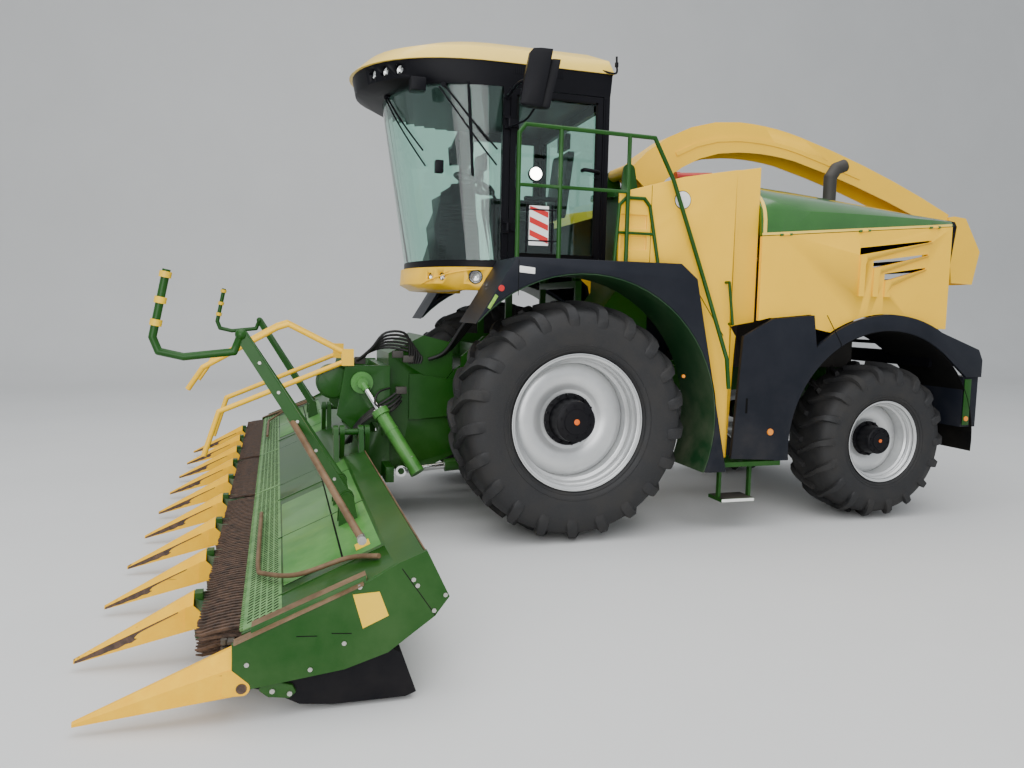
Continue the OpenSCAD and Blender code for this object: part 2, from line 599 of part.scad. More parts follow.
module swept(rings) {
    n = len(rings[0]);
    last = len(rings) - 1;
    half = n / 2;
    polyhedron(points = [for (ring = rings) each ring], faces = [
        for (r = [0 : last - 1]) for (k = [0 : n - 1]) each [
            [r * n + k, r * n + (k + 1) % n, (r + 1) * n + k],
            [r * n + (k + 1) % n, (r + 1) * n + (k + 1) % n, (r + 1) * n + k]],
        for (k = [0 : half - 2]) each [
            [k, n - 1 - k, n - 2 - k], [k, n - 2 - k, k + 1],
            [last * n + k, last * n + n - 2 - k, last * n + n - 1 - k],
            [last * n + k, last * n + k + 1, last * n + n - 2 - k]]]);
}
module hood() color(green) {
    difference() {
        swept([for (k = [0 : hood_steps]) hood_ring(k / hood_steps)]);
        translate([exhaust_at[0], exhaust_at[1], 2600]) cylinder(h = 800, r = exhaust_r + 8);
        both_sides() for (t = panel_knuckles) panel_axis_rod(t, -2, knuckle_len + 2, knuckle_r + 2);
    }
    both_sides() panel_lugs();
}
grille_z = [1560 : 90 : 2460];
module tail_grille() color(grey) difference() {
    across(tail_x - 40, tail_x) polygon(concat([[panel_half_w - 180, 1420]], [for (k = [0 : hood_sides])
        hood_arch(1, 0)[hood_sides - k]], [[180 - panel_half_w, 1420]]));
    for (z = grille_z, side = [-1, 1]) block(tail_x - 41, tail_x + 1, side * 560 - 500, side * 560 + 500,
        z, z + 55);
}
rear_lamps = [900, 1060, 1220];
bumper_back = tail_x - 410;
bumper_front = tail_x - 230;
bumper_z = [860, 1340];
bumper_half_w = fender_half_w - 60 - skin - seat_gap;
module rear_bumper() color(grey) {
    difference() {
        block(bumper_back, bumper_front, -bumper_half_w, bumper_half_w, bumper_z[0], bumper_z[1]);
        both_sides() for (lamp = rear_lamps) block(bumper_back - 1, bumper_back + 20, lamp, lamp + 150,
            1180, 1290);
        block(bumper_back - 1, bumper_back + 6, -260, 260, 1000, 1110);
    }
    block(bumper_front - 1, tail_x + 60, -rail_y - rail_w, rail_y + rail_w, rail_z, rail_z + 180);
}
exhaust_at = [-2960, 560];
exhaust_r = 62;
module exhaust() color(silver) bent_tube([[exhaust_at[0], exhaust_at[1], 2400],
    [exhaust_at[0], exhaust_at[1], 3260],
    [exhaust_at[0] - 60, exhaust_at[1], 3350], [exhaust_at[0] - 160, exhaust_at[1], 3390]], exhaust_r);

// Platform, railing and step on the left side
rail_y_out = panel_half_w + 40;
rail_low_y = max(fender_half_w, panel_half_w) + 40;
rail_top = 3280;
rail_foot = fender_top_z + seat_gap;
gate_x = [-290, -680];
gate_r = 14;
gate_y = panel_half_w + gate_r + seat_gap;
handle_r = 12;
handle_in = panel_half_w + seat_gap;
module railing() color(green) {
    bent_tube([[540, rail_y_out, rail_foot], [540, rail_y_out, rail_top - 50],
        [490, rail_y_out, rail_top + 15],
        [-600, rail_y_out, rail_top], [-780, rail_y_out, 2960], [-1090, rail_y_out, 2180],
        [-1280, rail_low_y, 1510], [-1310, rail_low_y, 1260]], 17);
    for (x = [200, -380]) tube([x, rail_y_out, rail_foot], [x, rail_y_out, rail_top], 17);
    tube([540, rail_y_out, 2840], [-380, rail_y_out, 2840], 14);
    bent_tube([[gate_x[0], gate_y, rail_foot + 1], [gate_x[0] - 30, gate_y, 2740],
        [gate_x[0] - 90, gate_y, 2800],
        [gate_x[1] + 140, gate_y, 2800], [gate_x[1] + 90, gate_y, 2740],
            [gate_x[1], gate_y, rail_foot + 2.7]], gate_r);
    tube([gate_x[0] - 15, gate_y, 2520], [gate_x[1] + 40, gate_y, 2520], gate_r - 3);
    bent_tube([[-1330, handle_in, 2150], [-1330, handle_in + 55, 2150], [-1380, handle_in + 55, 1800],
        [-1380, handle_in, 1800]], handle_r);
}
step_z = 608;
step_out = fender_half_w - 60;
fender_slope = (fender_back[1][0] - fender_back[2][0]) / (fender_back[1][1] - fender_back[2][1]);
step_front = fender_back[2][0] + (step_z - 40 - fender_back[2][1]) * fender_slope - seat_gap;
module access_step() color(green) {
    block(-1925, step_front, step_out - 330, step_out, step_z - 40, step_z);
    for (x = [-1400, -1700]) block(x, x + 25, step_out - 130, step_out - 90, 280, step_z - 40);
    difference() {
        block(-1700, -1375, step_out - 250, step_out - 30, 250, 280);
        for (x = [-1680 : 50 : -1430]) block(x, x + 32, step_out - 230, step_out - 140, 249, 281);
    }
}

// Spout
module spout_outline(inset, top_inset) polygon(concat(
    [for (k = [0 : spout_count - 1]) spout_below(k, top_inset)],
    [for (k = [spout_count - 1 : -1 : 0]) spout_below(k, spout_depth(k) - inset)]));
module spout_boom() color(yellow) difference() {
    union() {
        upright(-spout_w / 2, spout_w / 2) spout_outline(0, 0);
        both_sides() {
            upright(spout_w / 2 - 1, spout_w / 2 + 8) spout_band();
            upright(spout_w / 2 - spout_wall, spout_w / 2) hull() {
                translate(flap_pivot) circle(r = 26);
                translate(flap_pivot + [90, -10]) circle(r = 26);
            }
            bar_y(flap_pivot[0], flap_pivot[1], flap_pin_r, spout_w / 2 - spout_wall, spout_w / 2 + 24);
        }
        bar_y(spout_pivot[0], spout_pivot[1], 60, -spout_w / 2, spout_w / 2);
    }
    upright(-spout_w / 2 + spout_wall, spout_w / 2 - spout_wall) spout_outline(-60, spout_wall);
    bar_y(spout_pivot[0], spout_pivot[1], 25.1, -spout_w, spout_w);
}
// A stiffening band along each side of the spout, and the bolted lugs on its top edges
band_ends = [2, spout_count - 4];
module spout_band() polygon(concat([for (k = [band_ends[0] : band_ends[1]])
    spout_below(k, spout_depth(k) * 0.5)],
    [for (k = [band_ends[1] : -1 : band_ends[0]]) spout_below(k, spout_depth(k) * 0.5 + 40)]));
module spout_base() color(green) {
    translate([slew_x, 0, 2980.3]) cylinder(h = 40, r = 300);
    both_sides() {
        upright(spout_w / 2 + 4, spout_w / 2 + 26) hull() {
            translate(spout_pivot) circle(r = 60);
            translate([slew_x - 90, 3020]) square([180, 10]);
        }
    }
    bar_y(spout_pivot[0], spout_pivot[1], 25, -spout_w / 2 - 26, spout_w / 2 + 26);
}
flap_pin_r = 15;
module flap_outline() polygon([flap_pivot + [-40, 45], flap_pivot + [-200, 30],
    flap_pivot + [-flap_reach, -330],
    flap_pivot + [-350, -700], flap_pivot + [-320, -700], flap_pivot + [-390, -330], flap_pivot + [-180, 0],
    flap_pivot + [-40, 30]]);
module spout_flap() color(yellow) {
    upright(-spout_w / 2 - 24, spout_w / 2 + 24) flap_outline();
    both_sides() upright(spout_w / 2 + 4, spout_w / 2 + 24) difference() {
        polygon([flap_pivot + [30, 30], flap_pivot + [-40, 45], flap_pivot + [-200, 30],
            flap_pivot + [-390, -330],
            flap_pivot + [-320, -700], flap_pivot + [-60, -690], flap_pivot + [30, -200]]);
        translate(flap_pivot) circle(r = flap_pin_r + pin_gap);
    }
}

// Header carrier
module feeder_outline() difference() {
    polygon([[700, 620], [760, 1560], [1080, 1640], [1390, 1480], [1390, 460], [1100, 430]]);
    translate([lift_x, lift_z]) circle(r = drum_r + run_gap, $fn = 96);
    translate([300, 1300]) square([520, 500]);
}
module feeder_housing() color(green) {
    upright(-chop_half_w, chop_half_w) feeder_outline();
    both_sides() upright(chop_half_w + run_gap, chop_half_w + 34) difference() {
        hull() {
            translate([lift_x, lift_z]) circle(r = 130);
            translate([1150, 900]) square([60, 400]);
        }
        translate([lift_x, lift_z]) circle(r = lift_pin_big + pin_gap, $fn = 96);
    }
    both_sides() {
        block(1100, 1210, chop_half_w - 1, chop_half_w + 34, 900, 1300);
        bar_y(lift_eye[0], lift_eye[1], lift_pin_r, chop_half_w - 1, lift_y + 30);
    }
}
lift_y = 590;
lift_pin_r = 25;
lift_rod_r = 30;
lift_base = [300, 560];
lift_eye = [1300, 470];
module lift_line(a, b, r) both_sides() {
    d = lift_eye - lift_base;
    u = d / norm(d);
    tube([lift_base[0] + u[0] * a, lift_y, lift_base[1] + u[1] * a],
        [lift_base[0] + u[0] * b, lift_y, lift_base[1] + u[1] * b], r);
}
module lift_barrels() color(green) difference() {
    union() {
        lift_line(0, 620, 55);
        both_sides() bar_y(lift_base[0], lift_base[1], 60, lift_y - 33, lift_y + 33);
    }
    lift_line(75, 640, lift_rod_r + pin_gap);
    both_sides() bar_y(lift_base[0], lift_base[1], lift_pin_r + pin_gap, lift_y - 60, lift_y + 60);
}
module lift_rods() color(silver) difference() {
    union() {
        lift_line(180, 960, lift_rod_r);
        both_sides() bar_y(lift_eye[0], lift_eye[1], 48, lift_y - 25, lift_y + 25);
    }
    both_sides() bar_y(lift_eye[0], lift_eye[1], lift_pin_r + 4, lift_y - 40, lift_y + 40);
}
module tower_side() difference() {
    polygon([[1390, 420], [1390, 1380], [1770, 1380], [1840, 960], [1620, 740], [1562, 560], [1562, 420]]);
    translate([1530, 850]) circle(r = 45);
    translate([1640, 1230]) circle(r = 70);
}
// Cross beams of the tower: each is [height of its foot, half width]
tower_beams = [[420, 820], [780, 600], [1240, 500]];
module header_frame() color(green) {
    both_sides() upright(500, 540) tower_side();
    for (beam = tower_beams) block(1390, 1460, -beam[1], beam[1], beam[0], beam[0] + 130);
    bar_y(1860, 1240, 130, 130, 505);
    bar_y(1860, 1240, 70, 60, 130);
    bar_y(1860, 1240, 150, 440, 470);
    block(1715, 1860, -510, 300, 1080, 1130);
    block(1480, deck_rear_x + 35, -510, 510, 600, 640);
}
// Wing cylinders: a bright rod on the tower and a barrel with a collar
cyl_top = [1630, 575, 1235];
cyl_foot = [1215, 985, 520];
module wing_cylinders() both_sides() {
    d = cyl_foot - cyl_top;
    color(silver) tube(cyl_top, cyl_top + d * 0.4, 24);
    color(green) tube(cyl_top + d * 0.33, cyl_foot, 58);
    color(green) tube(cyl_top + d * 0.31, cyl_top + d * 0.37, 74);
    color(green) tube(cyl_top + d * 0.3, cyl_top + d * 0.34, 50);
    color(green) bar_y(cyl_top[0], cyl_top[2], 45, 540 + seat_gap, 610);
    color(green) bar_y(cyl_top[0], cyl_top[2], 95, 540 + seat_gap, 556);
}

module guard_hoops() color(yellow) both_sides() {
    bent_tube([[1760, 530, 1480], [2230, 500, 1720], [2320, 500, 1690], [2900, 480, 1360],
        [3020, 440, 1180]], tube_r);
    bent_tube([[1760, 530, 1420], [2780, 520, 1000], [2900, 520, 640]], tube_r);
    block(1700, 1800, 500, 560, 1380, 1520);
}

// Header decks
function deck_points() = [[deck_rear_x, 500], [1650, 712], [1790, 660], [2330, 430], [2330, 300], [2060, 215],
    [1830, 275], [1610, 420]];
module row_bracket(y) upright(y - 35, y + 35) polygon([[2100, 222], [2330, 200], [2620, 110],
    [point_back, 130],
    [point_back, 370], [2700, 370], [2700, chain_z], [2480, chain_z], [2330, 302]]);
comb_pitch = 60;
comb_slope = atan(55 / 150);
comb_teeth_x = 60;
module comb(y0, y1) translate([2330, 0, 414]) rotate([0, comb_slope, 0]) linear_extrude(15)
    polygon(comb_outline(-30, 158, y0, y1, 30 + comb_teeth_x, comb_pitch, 34));
// A strip with teeth on its front edge: x0 to x1, from y0 to y1, teeth from x0 + root on
function comb_outline(x0, x1, y0, y1, root, pitch, tooth) = let (n = floor((y1 - y0 - tooth) / pitch)) concat(
    [[x0, y1], [x0, y0]], [for (k = [0 : n]) each [[x0 + root, y0 + k * pitch], [x1, y0 + k * pitch + 4],
        [x1, y0 + k * pitch + tooth - 4], [x0 + root, y0 + k * pitch + tooth]]], [[x0 + root, y1]]);
module deck(y0, y1) {
    upright(y0, y1) polygon(deck_points());
    comb(y0, y1);
}
// A row point: a ridged snout that narrows to a low tip
module snout(y, back, tip_x, half_w, foot_z, ridge_z) hull() {
    across(back, back + 2) translate([y, 0]) polygon([[-half_w, foot_z], [-half_w, foot_z + 110],
        [-half_w * 0.2, ridge_z],
        [half_w * 0.2, ridge_z], [half_w, foot_z + 110], [half_w, foot_z]]);
    across(tip_x - 2, tip_x) translate([y, 0]) polygon([[-9, 44], [-9, 56], [0, 64], [9, 56], [9, 44]]);
}
module row_point(y) snout(y, point_back, point_x, 72, 150, 400);
module centre_deck() color(green) {
    deck(-centre_half_w, centre_half_w);
    for (k = [-1 : 1]) row_bracket(k * row_w);
    both_sides() for (x = [1600, 1800]) fold_lug(x, x + 40, centre_half_w - 70, fold_pin_r + pin_gap);
    block(1460, 1600, -500, 500, 470, 560);
}
fold_pin_r = 25;
module fold_lug(x0, x1, foot, r) difference() {
    across(x0, x1) hull() {
        translate([centre_half_w + 3, fold_z]) circle(r = 55);
        translate([foot - 30, 600]) square([60, 10]);
    }
    bar_x(centre_half_w + 3, fold_z, r, x0 - 1, x1 + 1);
}
module centre_points() color(yellow) for (k = [-1 : 1]) row_point(k * row_w);
wing_in = centre_half_w + run_gap;
seam_ribs = [wing_in + 500, wing_in + 1500, wing_in + 2500];
wing_out = 5 * row_w;
snout_back = 2521;
module wing_deck() color(green) {
    deck(wing_in, wing_out - 35);
    upright(wing_out - 35, wing_out) polygon([[snout_back - seat_gap, 370], [1940, 600], [1780, 690],
        [1650, 740], [1540, 510],
        [1610, 420], [1830, 265], [2030, 205], [snout_back - seat_gap, 150]]);
    for (k = [2 : 4]) row_bracket(k * row_w);
    upright(wing_out - 60, wing_out - 35) polygon([[1930, 600], [2440, 400], [2440, 424], [1930, 626]]);
    for (x = [1650, 1850]) fold_lug(x, x + 40, centre_half_w + 88, fold_pin_r - 10);
    for (y = seam_ribs) flat_bar([1800, y, 657], [2320, y, 436], 6, 12);
    bar_x(centre_half_w + 3, fold_z, fold_pin_r, 1595, 1895);
    for (y = [bar_y0 + 100, bar_y0 - 400]) bar_bracket(y);
}
// The rubber skid under the outer end
module skid() color(black) upright(wing_out - 140, wing_out - 45)
    polygon([[1690, 40], [1740, 22], [2080, 25], [2230, 45],
    [2380, 130], [2300, 160], [2060, 214.7], [1830, 274.7], [1760, 240]]);
tine_pitch = 75;
module chain(y0, y1) color([0.3, 0.24, 0.2]) {
    flat(chain_z, chain_z + 40) translate([2500, y0]) square([62, y1 - y0]);
    for (z = [chain_z, chain_z + 28]) flat(z, z + 12)
        polygon(comb_outline(2560, 2690, y0, y1, 1, tine_pitch, 24));
}
module wing_chain() chain(wing_in, wing_out - 158);
module centre_chain() chain(-centre_half_w, centre_half_w);
module outer_point() snout(wing_out - 76, snout_back, 3180, 75, 140, 372);
module wing_points() color(yellow) {
    for (k = [2 : 4]) row_point(k * row_w);
    outer_point();
}
bar_y0 = 2500;
bar_pivot = [1930, 740];
bar_top = [2520, bar_y0, 1700];
bar_feet = [bar_y0 + 100, bar_y0 - 400];
bar_pin_r = 20;
module crop_bar() color(green) difference() {
    union() {
        for (y = bar_feet) {
            flat_bar([bar_pivot[0], y, bar_pivot[1]], bar_top, 70, 26);
            bar_y(bar_pivot[0], bar_pivot[1], 45, y - 30, y + 30);
        }
        translate(bar_top) sphere(r = 34);
        bent_tube([bar_top, [2560, bar_y0, 1600], [2830, bar_y0, 1570], [2960, bar_y0, 1600],
            [2990, bar_y0, 1680], [2910, bar_y0, 2060]], tube_r);
    }
    for (y = bar_feet) bar_y(bar_pivot[0], bar_pivot[1], bar_pin_r + pin_gap, y - fork_in, y + fork_in);
}
fork_in = 48;
fork_out = 66;
module bar_bracket(y) {
    for (side = [-1, 1]) upright(y + side * fork_in, y + side * fork_out) difference() {
        hull() {
            translate(bar_pivot) circle(r = 40);
            translate([bar_pivot[0] - 70, 560]) square([120, 10]);
        }
        translate(bar_pivot) circle(r = 15);
    }
    bar_y(bar_pivot[0], bar_pivot[1], bar_pin_r, y - fork_out, y + fork_out);
}
module right_side() mirror([0, 1, 0]) children();
module front_tyre() wheel_at(0, track_front, axle_z) tyre(tyre_front_r, tyre_front_w, rim_front_r, 610,
    lugs_front);
module front_rim() wheel_at(0, track_front, axle_z) rim(rim_front_r, 610, 90, 190, -front_hub_in, 240);
module rear_tyre() wheel_at(rear_x, track_rear, rear_z) tyre(tyre_rear_r, tyre_rear_w, rim_rear_r, 530,
    lugs_rear);
module rear_rim() wheel_at(rear_x, track_rear, rear_z) rim(rim_rear_r, 530, 70, 140, -rear_hub_in, 210);

place() chassis();
place() rear_hitch();
place() front_axle();
place() rear_axle();
place() engine();
place() crop_channel();
place() knuckle();  // knuckle_left
place() right_side() knuckle();  // knuckle_right
place() front_tyre();  // tyre_front_left
place() right_side() front_tyre();  // tyre_front_right
place() rear_tyre();  // tyre_rear_left
place() right_side() rear_tyre();  // tyre_rear_right
place() front_rim();  // rim_front_left
place() right_side() front_rim();  // rim_front_right
place() rear_rim();  // rim_rear_left
place() right_side() rear_rim();  // rim_rear_right
place() cab_shell();
place() cab_roof();
place() roof_visor();
place() lamps();
place() cab_glass();
place() cab_door();
place() door_glass();
place() seat();
place() console();
place() mirrors();
place() cab_skirt();
place() fenders_front();
place() fenders_rear();
place() railing();
place() access_step();
place() cladding();
place() engine_panel();  // engine_panel_left
place() right_side() engine_panel();  // engine_panel_right
place() hood();
place() tail_grille();
place() rear_bumper();
place() exhaust();
place() spout_base();
place() spout_boom();
place() spout_flap();
place() feeder_housing();
place() lift_barrels();
place() lift_rods();
place() header_frame();
place() wing_cylinders();
place() guard_hoops();
place() centre_deck();
place() centre_points();
place() centre_chain();
place() wing_deck();  // wing_deck_left
place() right_side() wing_deck();  // wing_deck_right
place() skid();  // skid_left
place() right_side() skid();  // skid_right
place() wing_chain();  // wing_chain_left
place() right_side() wing_chain();  // wing_chain_right
place() wing_points();  // wing_points_left
place() right_side() wing_points();  // wing_points_right
place() crop_bar();  // crop_bar_left
place() right_side() crop_bar();  // crop_bar_right
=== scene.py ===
# %% [markdown]
# This notebook dresses a forage harvester with a folding maize header. The CAD frame gives every size and
# joint. The first step loads it and hangs each of its parts on the body that carries it.
# %% Load the frame
import json
import math

import bmesh
import bpy
from mathutils import Matrix, Vector

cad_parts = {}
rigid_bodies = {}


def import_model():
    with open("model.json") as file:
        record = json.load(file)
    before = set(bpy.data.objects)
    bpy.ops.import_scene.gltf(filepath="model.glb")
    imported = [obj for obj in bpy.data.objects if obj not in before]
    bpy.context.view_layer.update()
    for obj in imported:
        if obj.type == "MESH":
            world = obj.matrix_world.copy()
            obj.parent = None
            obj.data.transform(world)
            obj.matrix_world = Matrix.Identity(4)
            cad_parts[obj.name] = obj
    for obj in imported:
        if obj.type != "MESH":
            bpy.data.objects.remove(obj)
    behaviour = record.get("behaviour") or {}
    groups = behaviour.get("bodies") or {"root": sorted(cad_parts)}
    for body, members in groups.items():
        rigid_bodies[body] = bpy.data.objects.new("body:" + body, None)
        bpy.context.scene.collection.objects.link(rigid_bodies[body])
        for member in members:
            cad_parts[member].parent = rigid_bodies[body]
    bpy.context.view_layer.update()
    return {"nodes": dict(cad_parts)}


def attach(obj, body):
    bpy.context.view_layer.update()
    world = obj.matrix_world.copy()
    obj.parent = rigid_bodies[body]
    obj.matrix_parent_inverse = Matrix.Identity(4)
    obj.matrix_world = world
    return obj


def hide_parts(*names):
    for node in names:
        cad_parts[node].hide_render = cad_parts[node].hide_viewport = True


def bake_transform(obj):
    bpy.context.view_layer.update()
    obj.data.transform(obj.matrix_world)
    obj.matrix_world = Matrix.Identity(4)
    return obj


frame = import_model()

# %% [markdown]
# The machine was drawn with its front axle at zero and in millimetres. One small
# function turns such a place into a place in the frame, so the numbers below can
# be read against the machine: x forward of the front axle, y to its left, z up.
# %% Places on the machine
FRONT_AXLE_X = 0.991771
FRONT_AXLE_Z = 985
SIDES = (("left", 1), ("right", -1))


def place(x, y, z):
    return Vector((x / 1000 + FRONT_AXLE_X, y / 1000, z / 1000))


def on_side(side, *sideways):
    """The same sideways places on one side of the machine, from right to left."""
    return sorted(side * y for y in sideways)


def on_line(a, b, t):
    return tuple(a[k] + (b[k] - a[k]) * t for k in range(3))


print("front axle at", place(0, 0, FRONT_AXLE_Z))

# %% [markdown]
# The photograph was taken by a person standing to the left of the cab with a wide
# lens. The camera repeats that place, so the header reaches towards the viewer
# with the same steep perspective. Its turn is built from three plain angles.
# %% Camera
CAMERA_AT = Vector((2.3196 + FRONT_AXLE_X, 7.2922, 1.865))
TURN, TILT, ROLL = (math.radians(a) for a in (16.711, -5.267, 1.247))
SENSOR_WIDTH, FOCAL_LENGTH = 36, 27.58


def link_object(name, data):
    obj = bpy.data.objects.new(name, data)
    bpy.context.scene.collection.objects.link(obj)
    return obj


def make_camera():
    flat = math.cos(TILT)
    look = Vector((-math.sin(TURN) * flat, -math.cos(TURN) * flat, math.sin(TILT)))
    right = look.cross(Vector((0, 0, 1))).normalized()
    up = right.cross(look)
    across = right * math.cos(ROLL) + up * math.sin(ROLL)
    above = up * math.cos(ROLL) - right * math.sin(ROLL)
    data = bpy.data.cameras.new("camera")
    data.sensor_width = SENSOR_WIDTH
    data.lens = FOCAL_LENGTH
    camera = link_object("camera", data)
    turn = Matrix((across, above, -look)).transposed().to_4x4()
    camera.matrix_world = Matrix.Translation(CAMERA_AT) @ turn
    bpy.context.scene.camera = camera
    return camera


print("camera", make_camera().matrix_world.translation)

# %% [markdown]
# Every finish is built from a few kinds of node: one that reads a noise, one that
# stretches a value over a new range, one that does a sum and one that mixes two
# colours. An input takes either a plain value or another node's output.
# %% Nodes in short
MIX_FACTOR, MIX_FIRST, MIX_SECOND, MIX_RESULT = 0, 6, 7, 2


def add_node(tree, kind, **settings):
    node = tree.nodes.new(kind)
    for name, value in settings.items():
        setattr(node, name, value)
    return node


def feed(socket, value):
    if isinstance(value, bpy.types.NodeSocket):
        socket.id_data.links.new(value, socket)
    else:
        socket.default_value = value


def set_inputs(node, **values):
    for name, value in values.items():
        feed(node.inputs[name.replace("_", " ")], value)
    return node


def add_math(tree, kind, operation, *values, **settings):
    node = add_node(tree, kind, operation=operation, **settings)
    for socket, value in zip(node.inputs, values):
        feed(socket, value)
    return node.outputs[0]


def add_noise(tree, where, **values):
    return set_inputs(add_node(tree, "ShaderNodeTexNoise"), Vector=where, **values).outputs["Fac"]


def ramp(tree, value, low, high, to_low=0.0, to_high=1.0):
    node = add_node(tree, "ShaderNodeMapRange")
    set_inputs(node, Value=value, From_Min=low, From_Max=high, To_Min=to_low, To_Max=to_high)
    return node.outputs["Result"]


def blend_colours(tree, factor, first, second):
    mix = add_node(tree, "ShaderNodeMix", data_type="RGBA")
    for socket, value in ((MIX_FACTOR, factor), (MIX_FIRST, first), (MIX_SECOND, second)):
        feed(mix.inputs[socket], value)
    return mix.outputs[MIX_RESULT]


print("node helpers ready")

# %% [markdown]
# A shader node group is a small machine that several materials share. This one
# answers three questions for any point: how much dust lies there, which is most
# low down, how far the paint's tone wanders, and how high its fine grain stands.
# %% Dust, tone and grain, shared by the finishes
def make_weather_group():
    tree = bpy.data.node_groups.new("weather", "ShaderNodeTree")
    for name, kind, value in (("Place", "NodeSocketVector", None), ("Patch Size", "NodeSocketFloat", 3.0),
                              ("Dust Height", "NodeSocketFloat", 1.5), ("Dust", "NodeSocketFloat", 0.5)):
        socket = tree.interface.new_socket(name, in_out="INPUT", socket_type=kind)
        if value is not None:
            socket.default_value = value
    for name in ("Dust Mask", "Tone", "Height"):
        tree.interface.new_socket(name, in_out="OUTPUT", socket_type="NodeSocketFloat")
    given = add_node(tree, "NodeGroupInput").outputs
    result = add_node(tree, "NodeGroupOutput")
    broad = add_noise(tree, given["Place"], Scale=given["Patch Size"], Detail=5.0, Roughness=0.62)
    fine = add_noise(tree, given["Place"], Scale=180.0, Detail=3.0)
    height = set_inputs(add_node(tree, "ShaderNodeSeparateXYZ"), Vector=given["Place"]).outputs["Z"]
    low = ramp(tree, height, 0.0, given["Dust Height"], 1.0, 0.0)
    lift = add_math(tree, "ShaderNodeMath", "MULTIPLY_ADD", low, 0.75, 0.12)
    both = add_math(tree, "ShaderNodeMath", "MULTIPLY", lift, ramp(tree, broad, 0.38, 0.68))
    much = add_math(tree, "ShaderNodeMath", "MULTIPLY", both, given["Dust"], use_clamp=True)
    set_inputs(result, Dust_Mask=much, Tone=broad, Height=fine)
    return tree


weather = make_weather_group()
print("group sockets", [s.name for s in weather.interface.items_tree])

# %% [markdown]
# Most of the machine is one kind of finish: a colour that wanders a little, dust
# gathered low down, and a faint grain that breaks the highlights. One function
# makes such a finish, and each paint or plastic below is that with its own values.
# %% A painted or moulded finish
DUST_COLOUR = (0.30, 0.25, 0.19, 1)
DUST_ROUGHNESS, COAT_ROUGHNESS = 0.85, 0.12


def start_material(name):
    material = bpy.data.materials.new(name)
    material.use_nodes = True
    tree = material.node_tree
    tree.nodes.clear()
    shader = add_node(tree, "ShaderNodeBsdfPrincipled")
    feed(add_node(tree, "ShaderNodeOutputMaterial").inputs[0], shader.outputs[0])
    return material, tree, shader, add_node(tree, "ShaderNodeTexCoord").outputs["Object"]


def bump(tree, shader, height, strength, distance=0.002):
    node = set_inputs(add_node(tree, "ShaderNodeBump"), Height=height, Strength=strength, Distance=distance)
    set_inputs(shader, Normal=node.outputs[0])


def finish(name, colour, roughness, metallic=0.0, coat=0.0, dust=0.5, dust_height=1.5, tone=0.12,
           patch=3.0, grain=0.15, specular=0.4):
    material, tree, shader, where = start_material(name)
    shared = add_node(tree, "ShaderNodeGroup", node_tree=weather)
    set_inputs(shared, Place=where, Patch_Size=patch, Dust_Height=dust_height, Dust=dust)
    dust_mask, wander, height = shared.outputs
    darker = tuple(c * (1 - tone) for c in colour) + (1,)
    lighter = tuple(min(1, c * (1 + tone)) for c in colour) + (1,)
    wandering = blend_colours(tree, ramp(tree, wander, 0.3, 0.7), darker, lighter)
    set_inputs(shader, Base_Color=blend_colours(tree, dust_mask, wandering, DUST_COLOUR),
               Roughness=ramp(tree, dust_mask, 0, 1, roughness, DUST_ROUGHNESS), Metallic=metallic,
               Coat_Weight=coat, Coat_Roughness=COAT_ROUGHNESS, Specular_IOR_Level=specular)
    bump(tree, shader, height, grain, 0.0006)
    return material


green_paint = finish("green_paint", (0.007, 0.062, 0.003), 0.38, coat=0.15, dust=0.1, dust_height=1.3,
                     specular=0.2)
# The hood green is a paler copy of the green paint: its paler colour is painted light from the sky on the
# hood's top, and its clear coat gives a real reflection.
hood_paint = finish("hood_paint", (0.014, 0.105, 0.006), 0.24, coat=0.9, dust=0.1, dust_height=1.3)
yellow_paint = finish("yellow_paint", (0.98, 0.56, 0.02), 0.36, coat=0.15, dust=0.05, tone=0.03,
                      specular=0.3)
cream_paint = finish("cream_paint", (0.90, 0.62, 0.10), 0.36, coat=0.3, dust=0.05, tone=0.03)
silver_paint = finish("silver_paint", (0.62, 0.63, 0.63), 0.3, metallic=0.55, coat=0.2, dust=0.2,
                      dust_height=1.6)
fender_plastic = finish("fender_plastic", (0.009, 0.011, 0.017), 0.45, dust=0.10, dust_height=1.4,
                        grain=0.4, specular=0.18)
black_plastic = finish("black_plastic", (0.004, 0.004, 0.006), 0.4, dust=0.03, grain=0.3, specular=0.12)
hub_black = finish("hub_black", (0.005, 0.005, 0.007), 0.45, dust=0.04, specular=0.14)
rubber = finish("hose_rubber", (0.010, 0.010, 0.010), 0.5, dust=0.15, grain=0.4, specular=0.3)
cast_iron = finish("cast_iron", (0.045, 0.042, 0.038), 0.6, metallic=0.3, dust=0.35, grain=0.6)
bare_steel = finish("bare_steel", (0.46, 0.45, 0.42), 0.36, metallic=0.85, dust=0.2)
chrome = finish("chrome_rod", (0.75, 0.75, 0.75), 0.12, metallic=1.0, dust=0.05, grain=0.03)
tan_steel = finish("tan_steel", (0.13, 0.072, 0.03), 0.55, dust=0.3, tone=0.35, patch=9)
orange_mark = finish("orange_mark", (0.80, 0.14, 0.005), 0.4, dust=0.05)
red_mark = finish("red_mark", (0.55, 0.012, 0.012), 0.35, coat=0.3, dust=0.1)
white_mark = finish("white_mark", (0.8, 0.8, 0.77), 0.4, dust=0.1, tone=0.03)
deep_black = finish("deep_black", (0.004, 0.004, 0.004), 0.8, dust=0.05, specular=0.1)
red_cylinder = finish("red_cylinder", (0.42, 0.02, 0.015), 0.35, coat=0.3, dust=0.2)
print("finishes", len(bpy.data.materials))

# %% [markdown]
# The tine points and the snout tips are not one colour. The paint has worn off
# where stalks slide over it, most of all at the tip, and the bare metal has
# rusted. The finish reads how far forward a point lies to find the tip.
# %% Worn snout paint and rusty tines
TIP_X = 4.30


